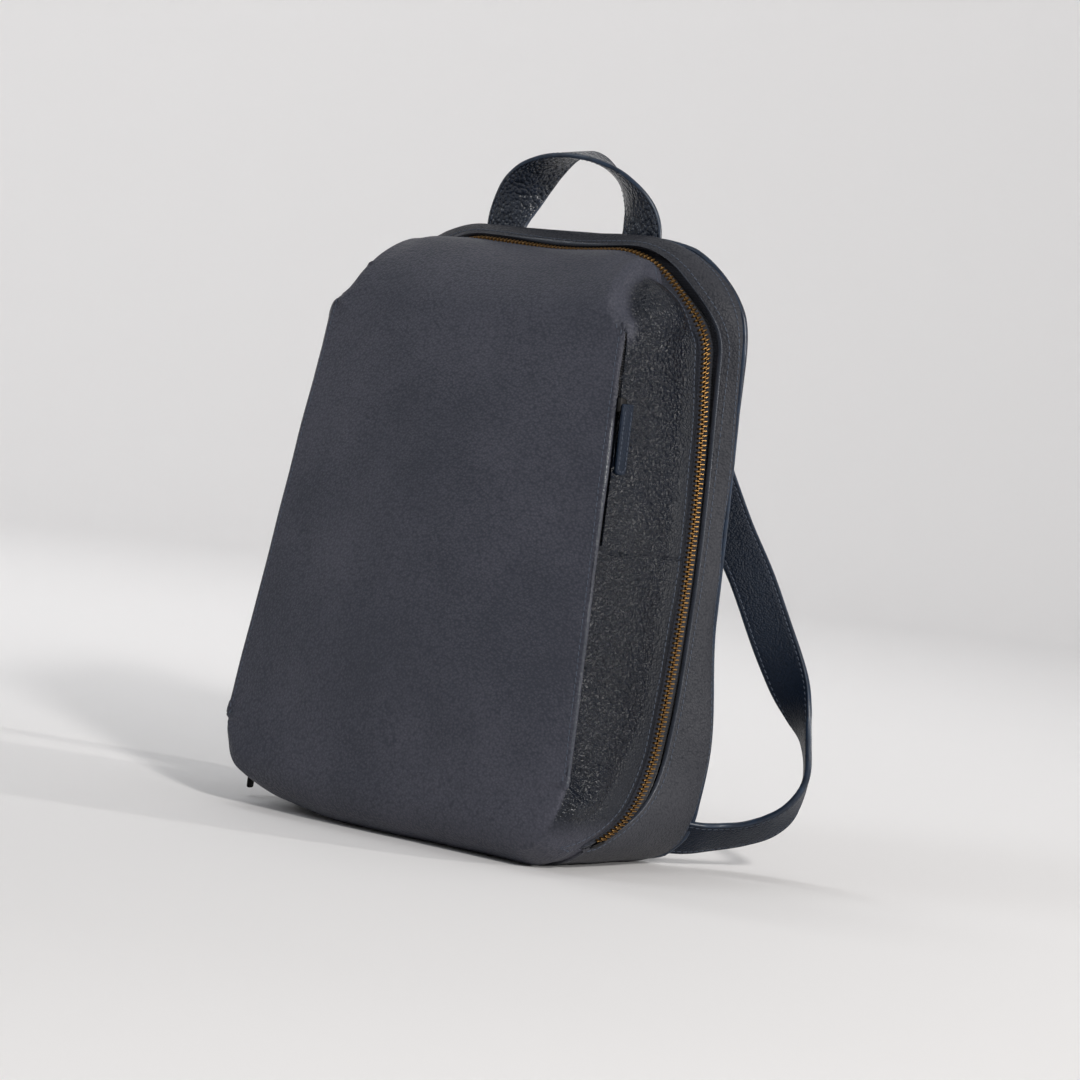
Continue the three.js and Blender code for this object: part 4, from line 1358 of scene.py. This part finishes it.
def build_handle():
    lines = strap_line(HANDLE_PATH, HANDLE_TWIST)
    handle, thread_row = strap_pieces(("handle_strap", "handle_stitches"), lines, HANDLE_WIDTH, HANDLE_THICK,
                                      "handle")
    finish_piece(handle, None, "strap_leather", "handle_strap", "handle_foot_left", "handle_foot_right")
    finish_piece(thread_row, None, "strap_leather")
    for piece in (handle, thread_row):
        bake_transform(piece)


STRAP_PATH = [(56, 60.8, 372), (55.5, 63.5, 360), (55.5, 71, 350), (58, 82, 338), (68, 89, 315),
              (88, 91, 285), (108, 92, 250), (128, 93, 215), (147, 95, 185), (164, 98, 152),
              (178, 101, 125), (189, 103, 102),
              (195, 104, 87), (199, 102, 65), (193, 98, 46), (181, 94.5, 33), (168, 88, 26), (155, 78, 22),
              (146, 66, 20), (137, 57, 20), (126, 49, 21)]
STRAP_TWIST = [(1, 0, 0), (1, 0, 0), (1, 0, 0), (1, 0, 0), (0.95, 0.2, 0.2),
               (0.85, 0.4, 0.3), (0.8, 0.5, 0.35), (0.74, 0.54, 0.38), (0.74, 0.54, 0.38),
               (0.78, 0.45, 0.38), (0.85, 0.1, 0.25), (0.75, -0.5, 0.1), (0.59, -0.81, 0),
               (0.5, -0.85, 0.1), (0.35, -0.85, 0.35), (0.23, -0.84, 0.49), (0.4, -0.72, 0.56),
               (0.55, -0.5, 0.66), (0.55, -0.4, 0.75), (0.5, -0.3, 0.8), (0.5, -0.3, 0.8)]
STRAP_WIDTH, STRAP_THICK = 29.0, 4.4


def build_strap(label, sign):
    mirror = np.array([sign, 1, 1])
    lines = strap_line(np.array(STRAP_PATH) * mirror, np.array(STRAP_TWIST) * mirror)
    names = (f"shoulder_strap_{label}", f"strap_stitches_{label}")
    strap, thread_row = strap_pieces(names, lines, STRAP_WIDTH, STRAP_THICK, "strap")
    tabs = (f"strap_tab_upper_{label}", f"strap_tab_lower_{label}")
    finish_piece(strap, None, "strap_leather", names[0], *tabs)
    finish_piece(thread_row, None, "strap_leather")
    for item in (strap, thread_row):
        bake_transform(item)
    refined(f"strap_adjuster_{label}", f"strap_{label}", "dark_metal", "dark_metal", 0.7)


YOKE_Z, YOKE_HALF, YOKE_WIDTH = 370.5, 80.0, 15.0


def build_yoke():
    """The strip on the back panel that covers the sewn ends of the straps and the handle."""
    x = np.linspace(-YOKE_HALF, YOKE_HALF, 161)
    over = smooth((np.abs(x) - 33) / 5) * smooth((75 - np.abs(x)) / 5)
    y = BACK_Y + 0.6 + 4.8 * over
    points = np.stack([x, y, YOKE_Z + 0 * x], 1)
    t = path_frames(points)
    across = np.tile([0.0, 0.0, 1.0], (len(x), 1))
    out = np.cross(across, t) * -1
    out *= np.sign(out[:, 1])[:, None]
    strip = swept("back_yoke_strip", points, across, out, bead(YOKE_WIDTH, 2.2, 28, 6))
    paint(strip, "strap")
    finish_piece(strip, "back_shell", "strap_leather")
    rows = []
    for side in (-1, 1):
        line = points + across * side * (YOKE_WIDTH / 2 - 2.6)
        rows.append(stitches(f"yoke_{side}", line[3:-3], normals=out[3:-3], lift=1.05))
    finish_rows("yoke_stitches", rows, "back_shell", "strap_leather")


COIL_PITCH = 1.5
PULL_STITCH_INSET = 2.0


def build_pocket_zip():
    """The side pocket's zip beside the right front edge: tape, coil and the leather pull."""
    z = np.linspace(POCKET_LOW - 2, POCKET_HIGH + 2, 150)
    rows = []
    for behind, depth in ((POCKET_NEAR - 0.8, 1.6), (3.6, 1.9), (5.7, 2.1), (7.8, 1.9),
                          (POCKET_FAR + 1.6, 1.6)):
        y = front_plane(z) + behind
        rows.append(np.stack([half_width(y, z) - depth, y, z], 1))
    tape = sheet_object("pocket_zip_tape", [np.array(rows)], (0.05, 0, 0.26))
    paint(tape, "tape")
    thicken(tape, 0.8, 0.0)
    finish_piece(tape, "front_shell", "zip_tape", "pocket_zip_tape")
    at = np.arange(POCKET_LOW + 1, POCKET_HIGH - 1, COIL_PITCH)
    y = front_plane(at) + 5.7
    points = np.stack([half_width(y, at) - 1.4, y, at], 1)
    t = path_frames(points)
    out = np.tile([0.98, -0.2, 0.0], (len(points), 1))
    template, faces = stitch_template(3.4, 0.55)
    coil = place_copies("pocket_zip_teeth", template, faces, points, np.cross(out, t) + 0.3 * t, out)
    paint(coil, "dark_metal")
    finish_piece(coil, "front_shell", "dark_metal", "pocket_zip_teeth")
    pull = refined("pocket_pull", "pocket_pull", "side_leather", "strap", 0.7)
    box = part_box("pocket_pull")
    low, high = np.array(box[0]) / MM, np.array(box[1]) / MM
    x = high[0]
    ys = (low[1] + PULL_STITCH_INSET, high[1] - PULL_STITCH_INSET)
    loop = [(x, ys[0], z) for z in np.linspace(high[2] - 4, low[2] + 4, 20)]
    loop += [(x, y, low[2] + PULL_STITCH_INSET) for y in np.linspace(ys[0] + 1.5, ys[1] - 1.5, 6)]
    loop += [(x, ys[1], z) for z in np.linspace(low[2] + 4, high[2] - 4, 20)]
    row = stitches("pocket_pull_stitches", np.array(loop), pull, pitch=3.0)
    finish_piece(row, "pocket_pull", "side_leather")


# ---------------------------------------------------------------- rows of stitches on the bag
def fin_line(sign):
    z = np.linspace(RIDGE_LOW[0] + 2, RIDGE_HIGH[0] - 2, 140)
    x = ridge_half(z) - 3.0
    return np.stack([sign * x, front_plane(z) - 2.0, z], 1)


def build_stitch_rows(front, back):
    front_rows = [stitches("fin_row", fin_line(sign), front) for sign in (-1, 1)]
    front_rows.append(stitches("zip_row", ring(zip_depth(-FRONT_STITCH)), front))
    finish_rows("front_stitches", front_rows, "front_shell", "front_leather")
    line = ring(lambda z, t: zip_line(z) + (gusset_edge(z) + 2.4) * zip_stretch(z))
    rows = [stitches("gusset_edge_row", line, back)]
    line = ring(lambda z, t: BACK_Y - 5.5 + 0 * z)
    rows.append(stitches("gusset_back_row", line, back))
    finish_rows("gusset_stitches", rows, "back_shell", "side_leather")


# ---------------------------------------------------------------- camera, floor and light
AIM = (0, 0, 0.2)
CAMERA_AZIMUTH, CAMERA_ELEVATION, CAMERA_ROLL = math.radians(36.3), math.radians(2.06), math.radians(6.72)
CAMERA_DISTANCE = 1.960
CAMERA_LENS = 102.1
CAMERA_SHIFT = (0.0528, -0.0146)
STAGE_SIDES, STAGE_RADIUS, STAGE_BEND = 180, 3.2, 1.4
STAGE_WALL = slice(30, 97)
# Name, place, aim, size, power and colour of each light.
LIGHTS = [
    ("key", (2.5, -1.5, 1.8), AIM, 0.4, 60, (1.0, 0.97, 0.94)),
    ("side", (2.7, 1.1, 0.9), AIM, 0.14, 30, (1.0, 0.98, 0.95)),
    ("fill", (-2.0, -2.6, 2.4), AIM, 1.6, 22, (0.93, 0.97, 1.0)),
    ("top", (0.2, 0.5, 3.0), AIM, 1.6, 8, (1, 1, 1)),
    ("wall", (-1.2, 0.2, 2.6), (-2.4, 3.2, 1.2), 1.2, 46, (1, 1, 1)),
]


def add_camera():
    level = math.cos(CAMERA_ELEVATION)
    back = Vector((math.sin(CAMERA_AZIMUTH) * level, -math.cos(CAMERA_AZIMUTH) * level,
                   math.sin(CAMERA_ELEVATION)))
    camera = bpy.data.objects.new("camera", bpy.data.cameras.new("camera"))
    bpy.context.scene.collection.objects.link(camera)
    camera.location = Vector(AIM) + back * CAMERA_DISTANCE
    turn = (camera.location - Vector(AIM)).to_track_quat("Z", "Y").to_matrix().to_4x4()
    camera.matrix_world = Matrix.Translation(camera.location) @ turn @ Matrix.Rotation(CAMERA_ROLL, 4, "Z")
    camera.data.shift_x, camera.data.shift_y = CAMERA_SHIFT
    camera.data.lens = CAMERA_LENS
    camera.data.sensor_width = 36
    camera.data.clip_end = 50
    bpy.context.scene.camera = camera
    bpy.context.scene.view_settings.view_transform = "Standard"


def add_stage():
    """A pale round studio floor that curves up into a wall behind the bag."""
    turn = np.linspace(0, 2 * np.pi, STAGE_SIDES, endpoint=False)
    disc = [(r * math.cos(a), r * math.sin(a), 0) for r in (0.0001, 1.6, STAGE_RADIUS) for a in turn]
    profile = [(STAGE_RADIUS, 0)]
    for a in np.linspace(0.1, math.pi / 2, 12):
        profile.append((STAGE_RADIUS + STAGE_BEND * math.sin(a), STAGE_BEND - STAGE_BEND * math.cos(a)))
    profile += [(STAGE_RADIUS + STAGE_BEND, z) for z in (3.0, 5.0)]
    behind = turn[STAGE_WALL]
    rise = [(r * math.cos(a), r * math.sin(a), z) for r, z in profile for a in behind]
    faces = grid_faces(STAGE_SIDES, 3, closed=True) + grid_faces(len(behind), len(profile), len(disc))
    floor = new_object("studio_floor", disc + rise, faces)
    recalculate_normals(floor, 0.00005)
    shade_smooth(floor)
    s = Shader("studio_paint")
    s.bsdf.inputs["Base Color"].default_value = rgb(0.84, 0.83, 0.83)
    s.bsdf.inputs["Roughness"].default_value = 0.9
    floor.data.materials.append(s.material)


def add_area(name, place, aim, size, power, colour):
    lamp = bpy.data.lights.new(name, "AREA")
    lamp.shape = "DISK"
    lamp.size = size
    lamp.energy = power
    lamp.color = colour
    obj = bpy.data.objects.new(name, lamp)
    bpy.context.scene.collection.objects.link(obj)
    obj.location = place
    obj.rotation_mode = "QUATERNION"
    obj.rotation_quaternion = (Vector(place) - Vector(aim)).to_track_quat("Z", "Y")


def add_lights():
    for light in LIGHTS:
        add_area(*light)
    world = bpy.data.worlds.new("studio")
    bpy.context.scene.world = world
    world.use_nodes = True
    background = world.node_tree.nodes["Background"]
    background.inputs["Color"].default_value = rgb(0.97, 0.98, 1.0)
    background.inputs["Strength"].default_value = 0.25


# ---------------------------------------------------------------- build
add_camera()
add_stage()
add_lights()

front_skin = build_front_leather()
thicken(front_skin)
trim_fin(front_skin)
finish_piece(front_skin, None, "front_leather", "front_panel", "side_panel_lower_left",
             "side_panel_upper_left", "side_panel_lower_right", "side_panel_upper_right",
             "edge_seam_left", "edge_seam_right")
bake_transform(front_skin)
back_skin = build_back_leather()
build_turned_edge()
build_back_panel()
build_back_welt()
build_back_pad()
build_zip()
build_metal()
build_inside()
build_handle()
for side_label, side_sign in (("left", -1), ("right", 1)):
    build_strap(side_label, side_sign)
build_yoke()
build_pocket_zip()
build_stitch_rows(front_skin, back_skin)
